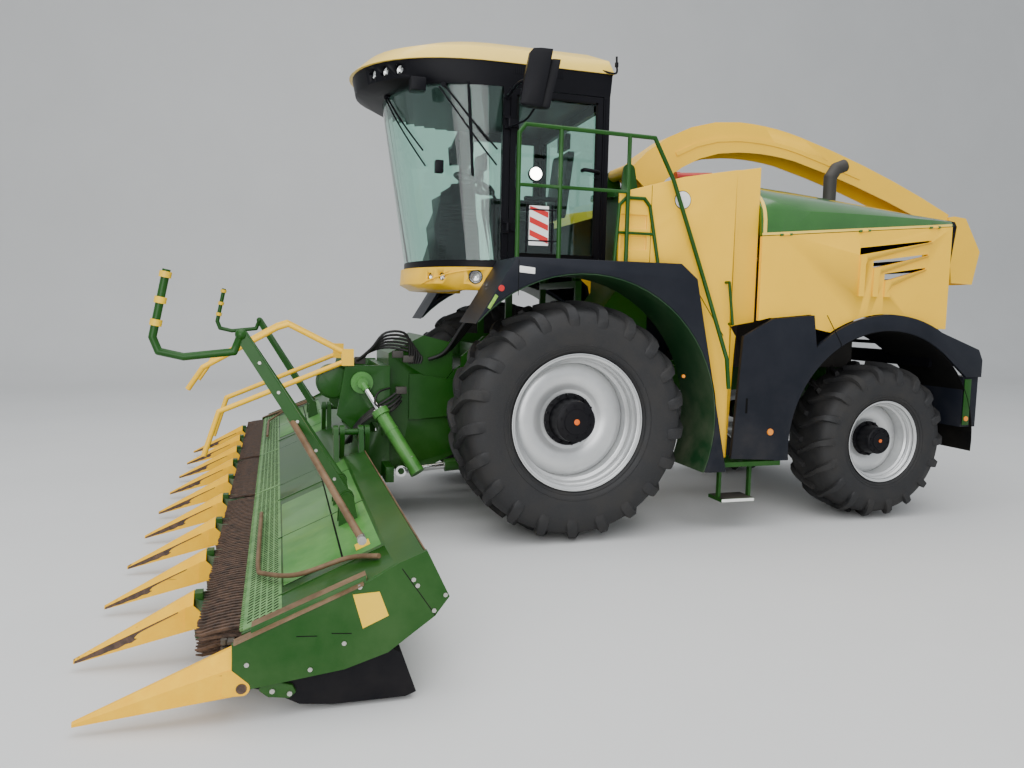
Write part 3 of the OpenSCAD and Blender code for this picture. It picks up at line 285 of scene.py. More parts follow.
def make_snout_paint():
    material, tree, shader, where = start_material("snout_paint")
    forward = set_inputs(add_node(tree, "ShaderNodeSeparateXYZ"), Vector=where).outputs["X"]
    noise = add_noise(tree, where, Scale=9.0, Detail=8.0, Roughness=0.7)
    stretch = set_inputs(add_node(tree, "ShaderNodeMapping"), Vector=where, Scale=(1.2, 26, 26))
    streaks = add_noise(tree, stretch.outputs[0], Scale=2.0, Detail=6.0)
    toward_tip = ramp(tree, forward, TIP_X - 0.25, TIP_X, 0.0, 0.3)
    worn = ramp(tree, add_math(tree, "ShaderNodeMath", "ADD", toward_tip, noise), 0.78, 0.86)
    scratch = ramp(tree, streaks, 0.70, 0.74, 0.0, 0.5)
    bare = add_math(tree, "ShaderNodeMath", "MAXIMUM", worn, scratch)
    rust = blend_colours(tree, noise, (0.035, 0.018, 0.01, 1), (0.16, 0.085, 0.04, 1))
    paint = blend_colours(tree, ramp(tree, noise, 0.35, 0.7), (0.84, 0.43, 0.006, 1), (0.90, 0.51, 0.015, 1))
    set_inputs(shader, Base_Color=blend_colours(tree, bare, paint, rust),
               Roughness=ramp(tree, bare, 0, 1, 0.38, 0.75), Specular_IOR_Level=0.2)
    bump(tree, shader, noise, 0.35)
    return material


def make_rust():
    material, tree, shader, where = start_material("rusty_steel")
    noise = add_noise(tree, where, Scale=22.0, Detail=8.0, Roughness=0.7)
    rust = blend_colours(tree, ramp(tree, noise, 0.35, 0.68), (0.03, 0.02, 0.016, 1), (0.15, 0.09, 0.06, 1))
    set_inputs(shader, Base_Color=rust, Roughness=ramp(tree, noise, 0.3, 0.7, 0.45, 0.8), Metallic=0.35)
    bump(tree, shader, noise, 0.5)
    return material


snout_paint = make_snout_paint()
rusty_steel = make_rust()
print("worn finishes", snout_paint.name, rusty_steel.name)

# %% [markdown]
# Tyre rubber is nearly black and dull, with pale dust dried into it in patches. A
# fine noise mixes two dark greys, and a broad one lays the brown of dust on them.
# %% Tyre rubber
def make_tyre_rubber():
    material, tree, shader, where = start_material("tyre_rubber")
    broad = add_noise(tree, where, Scale=4.0, Detail=6.0, Roughness=0.65)
    fine = add_noise(tree, where, Scale=120.0, Detail=4.0)
    greys = (0.006, 0.006, 0.007, 1), (0.013, 0.013, 0.014, 1)
    dark = blend_colours(tree, ramp(tree, fine, 0.3, 0.7), *greys)
    dusty = blend_colours(tree, ramp(tree, broad, 0.42, 0.72, 0.0, 0.5), dark, (0.040, 0.036, 0.031, 1))
    set_inputs(shader, Base_Color=dusty, Roughness=ramp(tree, broad, 0.3, 0.7, 0.55, 0.82))
    bump(tree, shader, fine, 0.35)
    return material


tyre_rubber = make_tyre_rubber()
print("tyre finish", tyre_rubber.name)

# %% [markdown]
# The cab's panes are green tinted safety glass. Transmission on the shader lets
# light through, and the tint is set on its own socket. A very slight waviness in
# the bump keeps the reflections from being as straight as a mirror's.
# %% Glass and lamps
GLASS_IOR = 1.45


def make_glass(name, tint, roughness, emission=0.0):
    material, tree, shader, where = start_material(name)
    set_inputs(shader, IOR=GLASS_IOR, Roughness=roughness, Base_Color=tint, Transmission_Weight=1.0)
    bump(tree, shader, add_noise(tree, where, Scale=2.5, Detail=2.0), 0.04, 0.01)
    if emission:
        set_inputs(shader, Emission_Color=tint, Emission_Strength=emission)
    return material


cab_tint = make_glass("cab_tint", (0.68, 0.93, 0.84, 1), 0.02)
lamp_lens = make_glass("lamp_lens", (0.9, 0.92, 0.9, 1), 0.12)
amber_lens = finish("amber_lens", (0.8, 0.25, 0.01), 0.15, coat=0.8, dust=0.02)
print("glass", cab_tint.name, lamp_lens.name)

# %% [markdown]
# Seat cloth is a plain weave. Two waves at right angles, read from the piece's own
# coordinates, give the over and under of its threads as a bump and a faint change
# of colour, and sheen gives the soft edge that cloth has.
# %% Seat cloth
def make_seat_cloth():
    material, tree, shader, where = start_material("seat_cloth")
    waves = []
    for direction in ("Y", "Z"):
        wave = add_node(tree, "ShaderNodeTexWave", bands_direction=direction)
        waves.append(set_inputs(wave, Vector=where, Scale=120.0, Distortion=0.6).outputs["Fac"])
    weave = add_math(tree, "ShaderNodeMath", "MULTIPLY", *waves)
    cloth = blend_colours(tree, weave, (0.018, 0.019, 0.022, 1), (0.05, 0.052, 0.058, 1))
    set_inputs(shader, Base_Color=cloth, Roughness=0.85, Sheen_Weight=0.4)
    bump(tree, shader, weave, 0.4, 0.001)
    return material


seat_cloth = make_seat_cloth()
print("cloth", seat_cloth.name)

# %% [markdown]
# A piece made here joins the object in four steps: its mesh is cleaned and turned outwards, it gets a finish,
# it rides on the body that carries it, and the CAD nodes it stands for are hidden. One function does this for
# every piece in the notebook.
# %% Handing a piece to the frame
MERGE_WITHIN, BEVEL_FROM = 0.00002, math.radians(35)
made = []


def hand_over(obj, material, body, replaced=()):
    obj.data.materials.clear()
    obj.data.materials.append(material)
    if body:
        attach(obj, body)
    if replaced:
        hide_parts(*replaced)
    made.append(obj.name)
    return obj


def mesh_of(bm, name="shape", outward=True):
    if outward:
        bmesh.ops.recalc_face_normals(bm, faces=bm.faces)
    mesh = bpy.data.meshes.new(name)
    bm.to_mesh(mesh)
    bm.free()
    return mesh


def bmesh_of(mesh):
    bm = bmesh.new()
    bm.from_mesh(mesh)
    return bm


def evaluated_mesh(obj):
    """The object's mesh with its modifiers worked in."""
    bpy.context.view_layer.update()
    return bpy.data.meshes.new_from_object(obj.evaluated_get(bpy.context.evaluated_depsgraph_get()))


def round_edges(obj, width):
    edge = obj.modifiers.new("edge", "BEVEL")
    edge.width = width
    edge.segments = 2
    edge.limit_method = "ANGLE"
    edge.angle_limit = BEVEL_FROM
    rounded = evaluated_mesh(obj)
    rounded.name = obj.name
    obj.modifiers.clear()
    obj.data = rounded


def keep_mesh(bm, name, material, body, angle=30, bevel=0.0, replaced=(), outward=True):
    bmesh.ops.remove_doubles(bm, verts=bm.verts, dist=MERGE_WITHIN)
    obj = link_object(name, mesh_of(bm, name, outward))
    if bevel:
        round_edges(obj, bevel)
    obj.data.shade_smooth()
    obj.data.set_sharp_from_angle(angle=math.radians(angle))
    return hand_over(obj, material, body, replaced)


# %% [markdown]
# A CAD solid arrives as loose triangles. To dress one, its copy is merged, its flat
# faces are joined into whole panels, and its edges may get a small round, because
# no pressed or cast part has a razor edge: that round is what catches the light. The
# end plates' faces are moved in by eight millimetres, to leave room for their bolts.
# %% Dressing a CAD node
FACE_Y = 3742
SOLID_MERGE, FLAT_WITHIN = 0.00003, math.radians(0.3)


def body_of_node(node):
    return frame["nodes"][node].parent.name.split(":", 1)[1]


def dress(node, material, bevel):
    bm = bmesh_of(frame["nodes"][node].data)
    bmesh.ops.remove_doubles(bm, verts=bm.verts, dist=SOLID_MERGE)
    for vert in bm.verts:
        vert.co.y = max(-FACE_Y / 1000, min(FACE_Y / 1000, vert.co.y))
    bmesh.ops.dissolve_limit(bm, angle_limit=FLAT_WITHIN, verts=bm.verts, edges=bm.edges)
    return keep_mesh(bm, node + "_dressed", material, body_of_node(node), 30, bevel, (node,), outward=False)


CLOTHES = {
    green_paint: ("chassis rear_hitch front_axle rear_axle crop_channel knuckle_left knuckle_right "
                  "access_step spout_base feeder_housing header_frame centre_deck wing_deck_left "
                  "wing_deck_right crop_bar_left crop_bar_right lift_barrels railing"),
    hood_paint: "hood",
    yellow_paint: "cab_skirt cladding engine_panel_left engine_panel_right spout_boom spout_flap guard_hoops",
    cream_paint: "cab_roof",
    fender_plastic: "fenders_front fenders_rear rear_bumper",
    black_plastic: "cab_shell cab_door roof_visor console tail_grille skid_left skid_right",
    cab_tint: "cab_glass door_glass",
    lamp_lens: "lamps",
    chrome: "lift_rods",
    cast_iron: "engine exhaust",
}
SOFT_EDGE = {"hood": 0.006, "cladding": 0.006, "fenders_front": 0.012, "fenders_rear": 0.012,
             "cab_roof": 0.02, "rear_bumper": 0.012, "header_frame": 0.004}
for clothing, names in CLOTHES.items():
    for node_name in names.split():
        dress(node_name, clothing, SOFT_EDGE.get(node_name, 0.0))
bare = set(frame["nodes"]) - {name.removesuffix("_dressed") for name in made}
print("dressed", len(made), "left bare", sorted(bare))

# %% [markdown]
# The pieces that follow are drawn from a few simple shapes: a row of outlines
# joined into a skin, a straight rod, a flat plate, a hose along a smooth line, and
# a profile turned about a wheel's axis. Each helper adds its shape to one mesh, so
# a piece made of many small parts is still a single object.
# %% Simple shapes
def join_rings(bm, rings):
    rows = [[bm.verts.new(point) for point in ring] for ring in rings]
    for first, second in zip(rows, rows[1:]):
        n = len(first)
        for k in range(n):
            bm.faces.new((first[k], first[(k + 1) % n], second[(k + 1) % n], second[k]))
    bm.faces.new(rows[0])
    bm.faces.new(rows[-1])


def ring_at(centre, direction, radius, sides):
    side = Vector((0, 0, 1)).cross(direction.normalized())
    side = side.normalized() if side.length > 0.01 else Vector((0, 1, 0))
    up = direction.normalized().cross(side)
    angles = [2 * math.pi * (k + 0.5) / sides for k in range(sides)]
    return [centre + side * radius * math.cos(a) + up * radius * math.sin(a) for a in angles]


def add_rod(bm, start, end, radius, sides=12, end_radius=None):
    start, end = place(*start), place(*end)
    last = radius if end_radius is None else end_radius
    join_rings(bm, [ring_at(at, end - start, r / 1000, sides) for at, r in ((start, radius), (end, last))])


def add_box(bm, low, high):
    low, high = place(*low), place(*high)
    corners = ((low.x, low.y), (high.x, low.y), (high.x, high.y), (low.x, high.y))
    join_rings(bm, [[Vector((x, y, z)) for x, y in corners] for z in (low.z, high.z)])


def add_plate(bm, outline, y0, y1):
    join_rings(bm, [[place(x, y, z) for x, z in outline] for y in (y0, y1)])


def smooth_line(points, steps):
    line = []
    ends = [points[0]] + list(points) + [points[-1]]
    for k in range(len(points) - 1):
        a, b, c, d = (Vector(p) for p in ends[k:k + 4])
        for s in range(steps):
            t = s / steps
            line.append(0.5 * (2 * b + (c - a) * t + (2 * a - 5 * b + 4 * c - d) * t * t
                               + (3 * b - a - 3 * c + d) * t * t * t))
    return line + [Vector(points[-1])]


def add_hose(bm, points, radius, sides=8, steps=6):
    line = [place(*p) for p in smooth_line(points, steps)]
    rings = []
    for k, point in enumerate(line):
        along = (line[min(k + 1, len(line) - 1)] - line[max(k - 1, 0)]).normalized()
        if k == 0:
            side = along.orthogonal().normalized()
        else:
            side = (side - along * side.dot(along)).normalized()
        up = along.cross(side)
        angles = [2 * math.pi * j / sides for j in range(sides)]
        rings.append([point + (side * math.cos(a) + up * math.sin(a)) * radius / 1000 for a in angles])
    join_rings(bm, rings)


def add_turned(bm, profile, centre, steps, mirrored=False):
    """Turns a closed profile of (radius, sideways) millimetres about the wheel axis at centre."""
    x, y, z = centre
    way = -1 if mirrored else 1
    rows = []
    for k in range(steps):
        a = 2 * math.pi * k / steps
        rows.append([bm.verts.new(place(x + r * math.sin(a), y + way * s, z + r * math.cos(a)))
                     for r, s in profile])
    n = len(profile)
    for k in range(steps):
        first, second = rows[k], rows[(k + 1) % steps]
        for j in range(n):
            bm.faces.new((first[j], first[(j + 1) % n], second[(j + 1) % n], second[j]))


def make_piece(name, material, body, shapes, angle=30, bevel=0.0, replaced=()):
    """One object from a list of shapes, each given as its helper and that helper's values."""
    bm = bmesh.new()
    for add, *values in shapes:
        add(bm, *values)
    return keep_mesh(bm, name, material, body, angle, bevel, replaced)


print("shape helpers ready")

# %% [markdown]
# What repeats is made by Geometry Nodes. The first tree copies a shape round a
# wheel's axis, the second copies it along a straight row, and the third sets a bolt
# head on every given point. Sizes and counts are inputs, so one tree serves all.
# %% Trees that repeat a shape
def new_tree(name, sockets):
    tree = bpy.data.node_groups.new(name, "GeometryNodeTree")
    tree.interface.new_socket("Geometry", in_out="INPUT", socket_type="NodeSocketGeometry")
    for label, kind in sockets:
        tree.interface.new_socket(label, in_out="INPUT", socket_type=kind)
    tree.interface.new_socket("Geometry", in_out="OUTPUT", socket_type="NodeSocketGeometry")
    return tree, add_node(tree, "NodeGroupInput"), add_node(tree, "NodeGroupOutput")


def end_tree(tree, given, result, instances):
    real = set_inputs(add_node(tree, "GeometryNodeRealizeInstances"), Geometry=instances)
    paint = add_node(tree, "GeometryNodeSetMaterial")
    set_inputs(paint, Geometry=real.outputs[0], Material=given.outputs["Finish"])
    feed(result.inputs[0], paint.outputs[0])
    return tree


def make_copies_tree(name, turning):
    kind = "NodeSocketFloat" if turning else "NodeSocketVector"
    tree, given, result = new_tree(name, (("Count", "NodeSocketInt"), ("Step", kind), ("Start", kind),
                                          ("Finish", "NodeSocketMaterial")))
    step, start = given.outputs["Step"], given.outputs["Start"]
    dots = add_node(tree, "GeometryNodeMeshLine", mode="OFFSET")
    set_inputs(dots, Offset=(0, 0, 0), Count=given.outputs["Count"])
    index = add_node(tree, "GeometryNodeInputIndex").outputs[0]
    copies = add_node(tree, "GeometryNodeInstanceOnPoints")
    set_inputs(copies, Points=dots.outputs[0], Instance=given.outputs["Geometry"])
    if turning:
        turn = add_node(tree, "ShaderNodeCombineXYZ")
        set_inputs(turn, Y=add_math(tree, "ShaderNodeMath", "MULTIPLY_ADD", index, step, start))
        set_inputs(copies, Rotation=turn.outputs[0])
        return end_tree(tree, given, result, copies.outputs[0])
    shift = add_math(tree, "ShaderNodeVectorMath", "MULTIPLY_ADD", step, index, start)
    move = add_node(tree, "GeometryNodeTranslateInstances")
    set_inputs(move, Instances=copies.outputs[0], Translation=shift, Local_Space=False)
    return end_tree(tree, given, result, move.outputs[0])


def make_bolts_tree():
    sockets = (("Radius", "NodeSocketFloat"), ("Height", "NodeSocketFloat"), ("Facing", "NodeSocketVector"),
               ("Finish", "NodeSocketMaterial"))
    tree, given, result = new_tree("bolts", sockets)
    head = add_node(tree, "GeometryNodeMeshCylinder")
    set_inputs(head, Vertices=8, Radius=given.outputs["Radius"], Depth=given.outputs["Height"])
    turn = add_node(tree, "FunctionNodeAlignRotationToVector", axis="Z")
    set_inputs(turn, Vector=given.outputs["Facing"])
    copies = add_node(tree, "GeometryNodeInstanceOnPoints")
    set_inputs(copies, Points=given.outputs["Geometry"], Instance=head.outputs["Mesh"],
               Rotation=turn.outputs[0])
    return end_tree(tree, given, result, copies.outputs[0])


round_axis = make_copies_tree("copies_round_an_axis", True)
along_row = make_copies_tree("copies_along_a_row", False)
bolt_heads = make_bolts_tree()
print("trees", round_axis.name, along_row.name, bolt_heads.name)

# %% [markdown]
# A tree works as a modifier. Its inputs are set by each socket's identifier before the object is evaluated,
# the result becomes a plain mesh, and the helper object goes away, so no live modifier is left.
# %% Running a tree
def run_tree(tree, mesh, **inputs):
    helper = link_object("helper", mesh)
    modifier = helper.modifiers.new("repeat", "NODES")
    modifier.node_group = tree
    for item in tree.interface.items_tree:
        if item.in_out == "INPUT" and item.name in inputs:
            modifier[item.identifier] = inputs[item.name]
    result = evaluated_mesh(helper)
    bpy.data.objects.remove(helper)
    return result


def repeat_row(name, bm, count, step, material, body, angle=30, replaced=()):
    step_in_metres = tuple(v / 1000 for v in step)
    mesh = run_tree(along_row, mesh_of(bm), Count=count, Step=step_in_metres, Start=(0.0, 0.0, 0.0),
                    Finish=material)
    return keep_mesh(bmesh_of(mesh), name, material, body, angle, replaced=replaced, outward=False)


def set_bolts(name, spots, facing, material, body, radius, height):
    dots = bpy.data.meshes.new("dots")
    dots.from_pydata([place(*spot) for spot in spots], [], [])
    mesh = run_tree(bolt_heads, dots, Radius=radius / 1000, Height=height / 1000, Facing=facing,
                    Finish=material)
    return keep_mesh(bmesh_of(mesh), name, material, body, outward=False)


print("ready to repeat")

# %% [markdown]
# A harvester tyre is a smooth carcass with tall slanted lugs. The carcass is one
# profile turned about the axle. A lug starts near the middle of the tread, sweeps
# back as it nears the shoulder and then runs down the flank as a rounded claw.
# %% Tyres
FRONT_TYRE = 985
WHEELS = {
    "front": dict(at=(0, 1150, FRONT_AXLE_Z), tyre=FRONT_TYRE, width=710, rim=559, rim_width=610, lugs=21,
                  hub=170, hub_out=262, nuts=16),
    "rear": dict(at=(-3080, 1100, 735), tyre=735, width=600, rim=381, rim_width=530, lugs=18,
                 hub=128, hub_out=222, nuts=12),
}
ROUND_STEPS, HUB_STEPS, PLUG_STEPS = 96, 48, 20
LUG_HEIGHT = 44
# Each station of a lug: its place as a share of the tyre's width, the angle by which
# it trails, half its own width, and its share of the full height.
LUG_STATIONS = [(-0.03, 0.0, 25, 1.0), (0.09, 2.2, 25, 1.0), (0.19, 4.8, 27, 1.0), (0.28, 7.4, 31, 1.0),
                (0.37, 9.6, 36, 0.98), (0.43, 10.8, 41, 0.85), (0.467, 11.5, 44, 0.5),
                (0.483, 11.8, 42, 0.26), (0.49, 12.0, 30, 0.04)]


def wheel_places():
    for axle, w in WHEELS.items():
        for tag, side in SIDES:
            yield w, side, f"{axle}_{tag}", (w["at"][0], w["at"][1] * side, w["at"][2])


def carcass_half(w):
    r, half, rim, seat = w["tyre"], w["width"] / 2, w["rim"], w["rim_width"] / 2
    crown = r - LUG_HEIGHT
    middle = (rim + r) / 2 - 20
    return [(rim - 24, seat - 16), (rim + 4, seat - 13), (rim + 22, seat + 4),
            (rim + 70, (seat + half) / 2 + 6), (middle, half - 6), (r - 150, half - 17), (r - 88, half - 52),
            (crown - 10, half * 0.6), (crown, half * 0.25), (crown, 0)]


def carcass_line(w):
    return [(p[0], p[1]) for p in smooth_line([(r, s, 0) for r, s in carcass_half(w)], 4)]


def carcass_at(line, sideways_share, half):
    """The point and outward direction of the carcass where a lug station stands."""
    want = min(sideways_share * 2 * half, half - 6.5)
    crown_first = line[::-1]
    for k in range(1, len(crown_first)):
        if crown_first[k][1] >= want:
            a, b = crown_first[k - 1], crown_first[k]
            t = (want - a[1]) / max(b[1] - a[1], 1e-6)
            along = (b[0] - a[0], b[1] - a[1])
            size = math.hypot(*along)
            return (a[0] + along[0] * t, want), (along[1] / size, -along[0] / size)
    return crown_first[-1], (0, 1)


def lug_mesh(w, side):
    line, half = carcass_line(w), w["width"] / 2
    rings = []
    for share, angle, wide, part in LUG_STATIONS:
        (r, s), out = carcass_at(line, max(share, 0), half)
        s = share * 2 * half if share < 0 else s
        tall = LUG_HEIGHT * part
        ring = []
        for across, depth in ((-wide - 9, -6), (-wide - 5, tall * 0.45), (-wide + 5, tall), (wide - 5, tall),
                              (wide + 5, tall * 0.45), (wide + 9, -6)):
            rr = min(r + out[0] * depth, w["tyre"])
            ss = min(s + out[1] * depth, half)
            a = -math.radians(angle) + across * w["tyre"] / FRONT_TYRE / rr
            ring.append(Vector((rr * math.sin(a), side * ss, rr * math.cos(a))) / 1000)
        rings.append(ring)
    bm = bmesh.new()
    join_rings(bm, rings)
    return mesh_of(bm, "lug")


def make_tyre(w, name, at):
    half = carcass_line(w)
    inner = [(r - 26 if r > w["rim"] + 60 else r + 2, max(s - 26, 0)) for r, s in half]
    outer_back = [(r, -s) for r, s in half[-2::-1]]
    inner_back = [(r, -s) for r, s in inner[1:-1]]
    bm = bmesh.new()
    add_turned(bm, half + outer_back + inner_back + inner[-1:0:-1], at, ROUND_STEPS)
    for flank in (1, -1):
        for radius, tall in ((w["rim"] + 34, 4), (w["rim"] + 62, 3)):
            r, s = min(half, key=lambda p: abs(p[0] - radius))
            rib = ((-5, -4), (-2, tall), (3, tall), (7, -4))
            add_turned(bm, [(r + a, flank * (s + b)) for a, b in rib], at, ROUND_STEPS)
    pitch = 2 * math.pi / w["lugs"]
    for flank, start in ((1, 0.0), (-1, pitch / 2)):
        ring = run_tree(round_axis, lug_mesh(w, flank), Count=w["lugs"], Step=pitch, Start=start,
                        Finish=tyre_rubber)
        ring.transform(Matrix.Translation(place(*at)))
        bm.from_mesh(ring)
    return keep_mesh(bm, f"tyre_{name}_tread", tyre_rubber, "wheel_" + name, 40, replaced=("tyre_" + name,))


for wheel, side, wheel_name, centre in wheel_places():
    tyre = make_tyre(wheel, wheel_name, centre)
    print(tyre.name, len(tyre.data.polygons))

# %% [markdown]
# The rims are dished: a stepped flange outside, a deep well, and a pressed disc
# that swells outwards and falls back to a flat ring of nuts. A black planetary hub
# with an orange plug stands far out of the middle. All of it is turned profiles.
# %% Rims and hubs
RIM_STEPS = [(0, 0), (-7, 1), (-13, -8), (-20, -17), (-31, -23), (-35, -36), (-30, -48), (-37, -64),
             (-50, -76), (-49, -92), (-61, -108), (-63, -126), (-84, -142)]
SEAT_STEPS = [(-74, -132), (-25, -88), (-25, -14), (0, -8)]
DISC_FACE = [(478, 64), (468, 82), (430, 102), (370, 110), (315, 102), (275, 84), (252, 70), (244, 68),
             (160, 68)]
DISC_THICK = 16
HUB_NUTS = 10


def scale_of(w):
    """How large this rim is beside the front one, whose steps are listed above."""
    return w["rim"] / WHEELS["front"]["rim"]


def rim_profiles(w):
    r, half, k = w["rim"], w["rim_width"] / 2, scale_of(w)
    outer, seat = ([(r + a * k, half + b * k) for a, b in steps] for steps in (RIM_STEPS, SEAT_STEPS))
    barrel = outer + [(a, -b) for a, b in outer[::-1]] + [(a, -b) for a, b in seat[::-1]] + seat
    back = [(a, b - DISC_THICK) for a, b in DISC_FACE[::-1]]
    return barrel, [(a * k, b * k) for a, b in DISC_FACE + back]


def hub_profile(hub, out, k):
    return [(hub * 1.28, 60 * k), (hub * 1.28, 84 * k), (hub * 1.06, 92 * k), (hub, out - 60),
            (hub * 0.98, out - 14), (hub * 0.9, out - 4), (hub * 0.62, out - 2), (hub * 0.6, out + 4),
            (0.5, out + 4), (0.5, 60 * k)]


def add_nuts(bm, at, side, count, radius, size, low, high):
    nut = bmesh.new()
    ring = [(size * math.cos(math.pi * j / 3), size * math.sin(math.pi * j / 3)) for j in range(6)]
    join_rings(nut, [[Vector((c, side * s, radius + d)) / 1000 for c, d in ring] for s in (low, high)])
    nuts = run_tree(round_axis, mesh_of(nut), Count=count, Step=2 * math.pi / count, Start=0.1,
                    Finish=hub_black)
    nuts.transform(Matrix.Translation(place(*at)))
    bm.from_mesh(nuts)


def make_rim(w, side, name, at):
    k, mirrored, body = scale_of(w), side == -1, "wheel_" + name
    barrel, disc = rim_profiles(w)
    rim = make_piece(f"rim_{name}_dish", silver_paint, body,
                     [(add_turned, barrel, at, ROUND_STEPS), (add_turned, disc, at, ROUND_STEPS, mirrored)],
                     35, replaced=("rim_" + name,))
    hub, out = w["hub"], w["hub_out"]
    make_piece("hub_" + name, hub_black, body,
               [(add_turned, hub_profile(hub, out, k), at, HUB_STEPS, mirrored),
                (add_nuts, at, side, w["nuts"], hub * 1.2, 13, 80 * k, 112 * k),
                (add_nuts, at, side, HUB_NUTS, hub * 0.78, 8, out - 6, out + 6)], 35)
    plug = [(24 * k, out), (24 * k, out + 9), (18 * k, out + 11), (0.5, out + 11), (0.5, out)]
    make_piece("hub_plug_" + name, orange_mark, body, [(add_turned, plug, at, PLUG_STEPS, mirrored)])
    return rim


for wheel, side, wheel_name, centre in wheel_places():
    print(make_rim(wheel, side, wheel_name, centre).name)

# %% [markdown]
# The glass cab carries small things that make it read as real: two wipers lying
# across the curved screen, a long mirror in two housings on each side, trim and an
# antenna on the roof, a door handle and seal, and a thin arm in front of the screen.
# Each is placed on the post, roof or pane that carries it.
# %% On the cab
CAB_X, CAB_HALF, SIDE_GLASS_Y = 470, 880, 879
SCREEN_FOOT, SCREEN_HEIGHT = 2290, 1420
FOOT_NOSE, NOSE_GROWTH = 1180, 220
WIPER_PIVOT_Z = 3700


def cab_curve(angle, nose, half, z):
    """A point on the cab's rounded front; the angle is in degrees from straight ahead."""
    a = math.radians(angle)
    return (CAB_X + (nose - CAB_X) * max(math.cos(a), 0) ** 0.8, half * math.sin(a), z)


def screen_point(angle, z, out=0):
    nose = FOOT_NOSE + NOSE_GROWTH * (z - SCREEN_FOOT) / SCREEN_HEIGHT
    return cab_curve(angle, nose + out, CAB_HALF + out, z)


def make_wipers():
    bm = bmesh.new()
    for start, end in ((58, 86), (12, 44)):
        sweep = end - start
        blade = [screen_point(start + sweep * t, 3690 - 620 * t, 14) for t in (0, 0.25, 0.5, 0.75, 1.0)]
        arm = [screen_point(start + 3 + sweep * t, WIPER_PIVOT_Z - 560 * t, 22) for t in (0, 0.3, 0.6, 0.9)]
        add_hose(bm, blade, 7, 6)
        add_hose(bm, arm, 8, 6)
        add_rod(bm, *(screen_point(start + 3, WIPER_PIVOT_Z, out) for out in (2, 40)), 22)
    return keep_mesh(bm, "wipers", black_plastic, "machine", 40)


def make_screen_arm():
    arm = [screen_point(74, z, out) for z, out in ((3708, 95), (3600, 70), (3200, 30), (2980, 34))]
    return make_piece("screen_arm", black_plastic, "machine",
                      [(add_hose, arm, 13, 8), (add_box, (1010, 790, 2985), (1075, 860, 3085)),
                       (add_box, (1170, 780, 3610), (1290, 900, 3712))], 30, 0.006)


def make_roof_trim():
    arm = [(-330, 880, 3930), (-430, 925, 3900), (-462, 930, 3915), (-458, 930, 3965)]
    antenna = [(add_hose, arm, 9, 8), (add_rod, (-458, 930, 3955), (-458, 930, 3990), 16),
               (add_rod, (-458, 930, 3985), (-456, 930, 4040), 9)]
    grille = [(add_box, (x, CAB_HALF, 3822), (x + 7, 893, 3874)) for x in range(430, -12, -17)]
    posts = [(add_box, (x, CAB_HALF, 2330), (x + 34, 886, 3690)) for x in (476, -426)]
    return make_piece("roof_trim", black_plastic, "machine", antenna + grille + posts)


def make_door_handle():
    grip = [(-190, 882, 3080), (-200, 925, 3082), (-260, 932, 3076), (-320, 925, 3070), (-330, 882, 3068)]
    lock = (add_box, (-345, SIDE_GLASS_Y, 3020), (-300, 900, 3120))
    return make_piece("door_handle", black_plastic, "cab_door", [(add_hose, grip, 17, 8), lock], 40)


def make_door_seal():
    strips = ((-320, -300, 2345, 3655), (385, 403, 2345, 3655), (-320, 403, 2345, 2362),
              (-320, 403, 3640, 3655))
    return make_piece("door_seal", deep_black, "cab_door",
                      [(add_box, (x0, SIDE_GLASS_Y, z0), (x1, 884, z1)) for x0, x1, z0, z1 in strips])


MIRROR_OUTLINE = [(0, -78), (44, -70), (66, -30), (66, 30), (44, 70), (0, 78)]
# Each mirror housing: its foot's place, its height, how deep and wide it is beside
# the outline, and its size at shares of the way up.
MIRROR_HOUSINGS = (
    ((352, 1322, 3452), 438, 2.6, 0.72, ((0, 0.82), (0.04, 0.96), (0.5, 1.0), (0.93, 0.98), (1, 0.86))),
    ((276, 1300, 3456), 372, 1.5, 0.6, ((0, 0.8), (0.06, 0.96), (0.94, 0.98), (1, 0.84))))
MIRROR_LEAN = 84


def make_mirror_heads():
    bm = bmesh.new()
    for side in (1, -1):
        for (x0, y0, z0), tall, deep, wide, sizes in MIRROR_HOUSINGS:
            join_rings(bm, [[place(x0 + x * deep * size - MIRROR_LEAN * t, side * (y0 + y * wide * size),
                                   z0 + tall * t) for x, y in MIRROR_OUTLINE] for t, size in sizes])
        add_hose(bm, [(490, side * 880.5, 3640), (490, side * 1000, 3640), (462, side * 1150, 3680),
                      (380, side * 1262, 3690)], 14)
        add_rod(bm, (490, side * 880.5, 3640), (490, side * 900, 3640), 30)
        add_hose(bm, [(372, side * 1250, 3460), (400, side * 1120, 3400), (470, side * 960, 3380),
                      (492, side * 882, 3380)], 9)
    return keep_mesh(bm, "mirror_heads", black_plastic, "machine", 35, replaced=("mirrors",))


for made_piece in (make_wipers(), make_screen_arm(), make_roof_trim(), make_door_handle(), make_door_seal(),
                   make_mirror_heads()):
    print(made_piece.name, len(made_piece.data.polygons))

# %% [markdown]
# A lamp is a bright bowl behind a lens, set in a dark ring. The visor and the skirt
# carry rows of them, and one lamp beside the door is switched on, so its lens gives
# a little light of its own.
# %% Lamps
# Each lamp: its angle on the cab's curve, height, nose of the curve, radius and how
# far out it sits. Angles are from straight ahead.
VISOR_LAMPS = [(angle, 3830, 1650, 44, -28) for angle in (-46, -37, -28, 28, 37, 46)]
SKIRT_LAMPS = [(side * (90 - angle), 2150, FOOT_NOSE, radius, -4)
               for angle, radius in ((16, 60), (40, 34), (50, 34)) for side in (1, -1)]
BOWL_PROFILE = [(0.3, -0.5), (0.75, -0.3), (0.92, -0.05), (0.86, -0.06), (0.5, -0.3), (0.1, -0.4)]
RING_PROFILE = [(0.98, -0.5), (0.98, 0.06), (0.86, 0.06), (0.86, -0.5)]


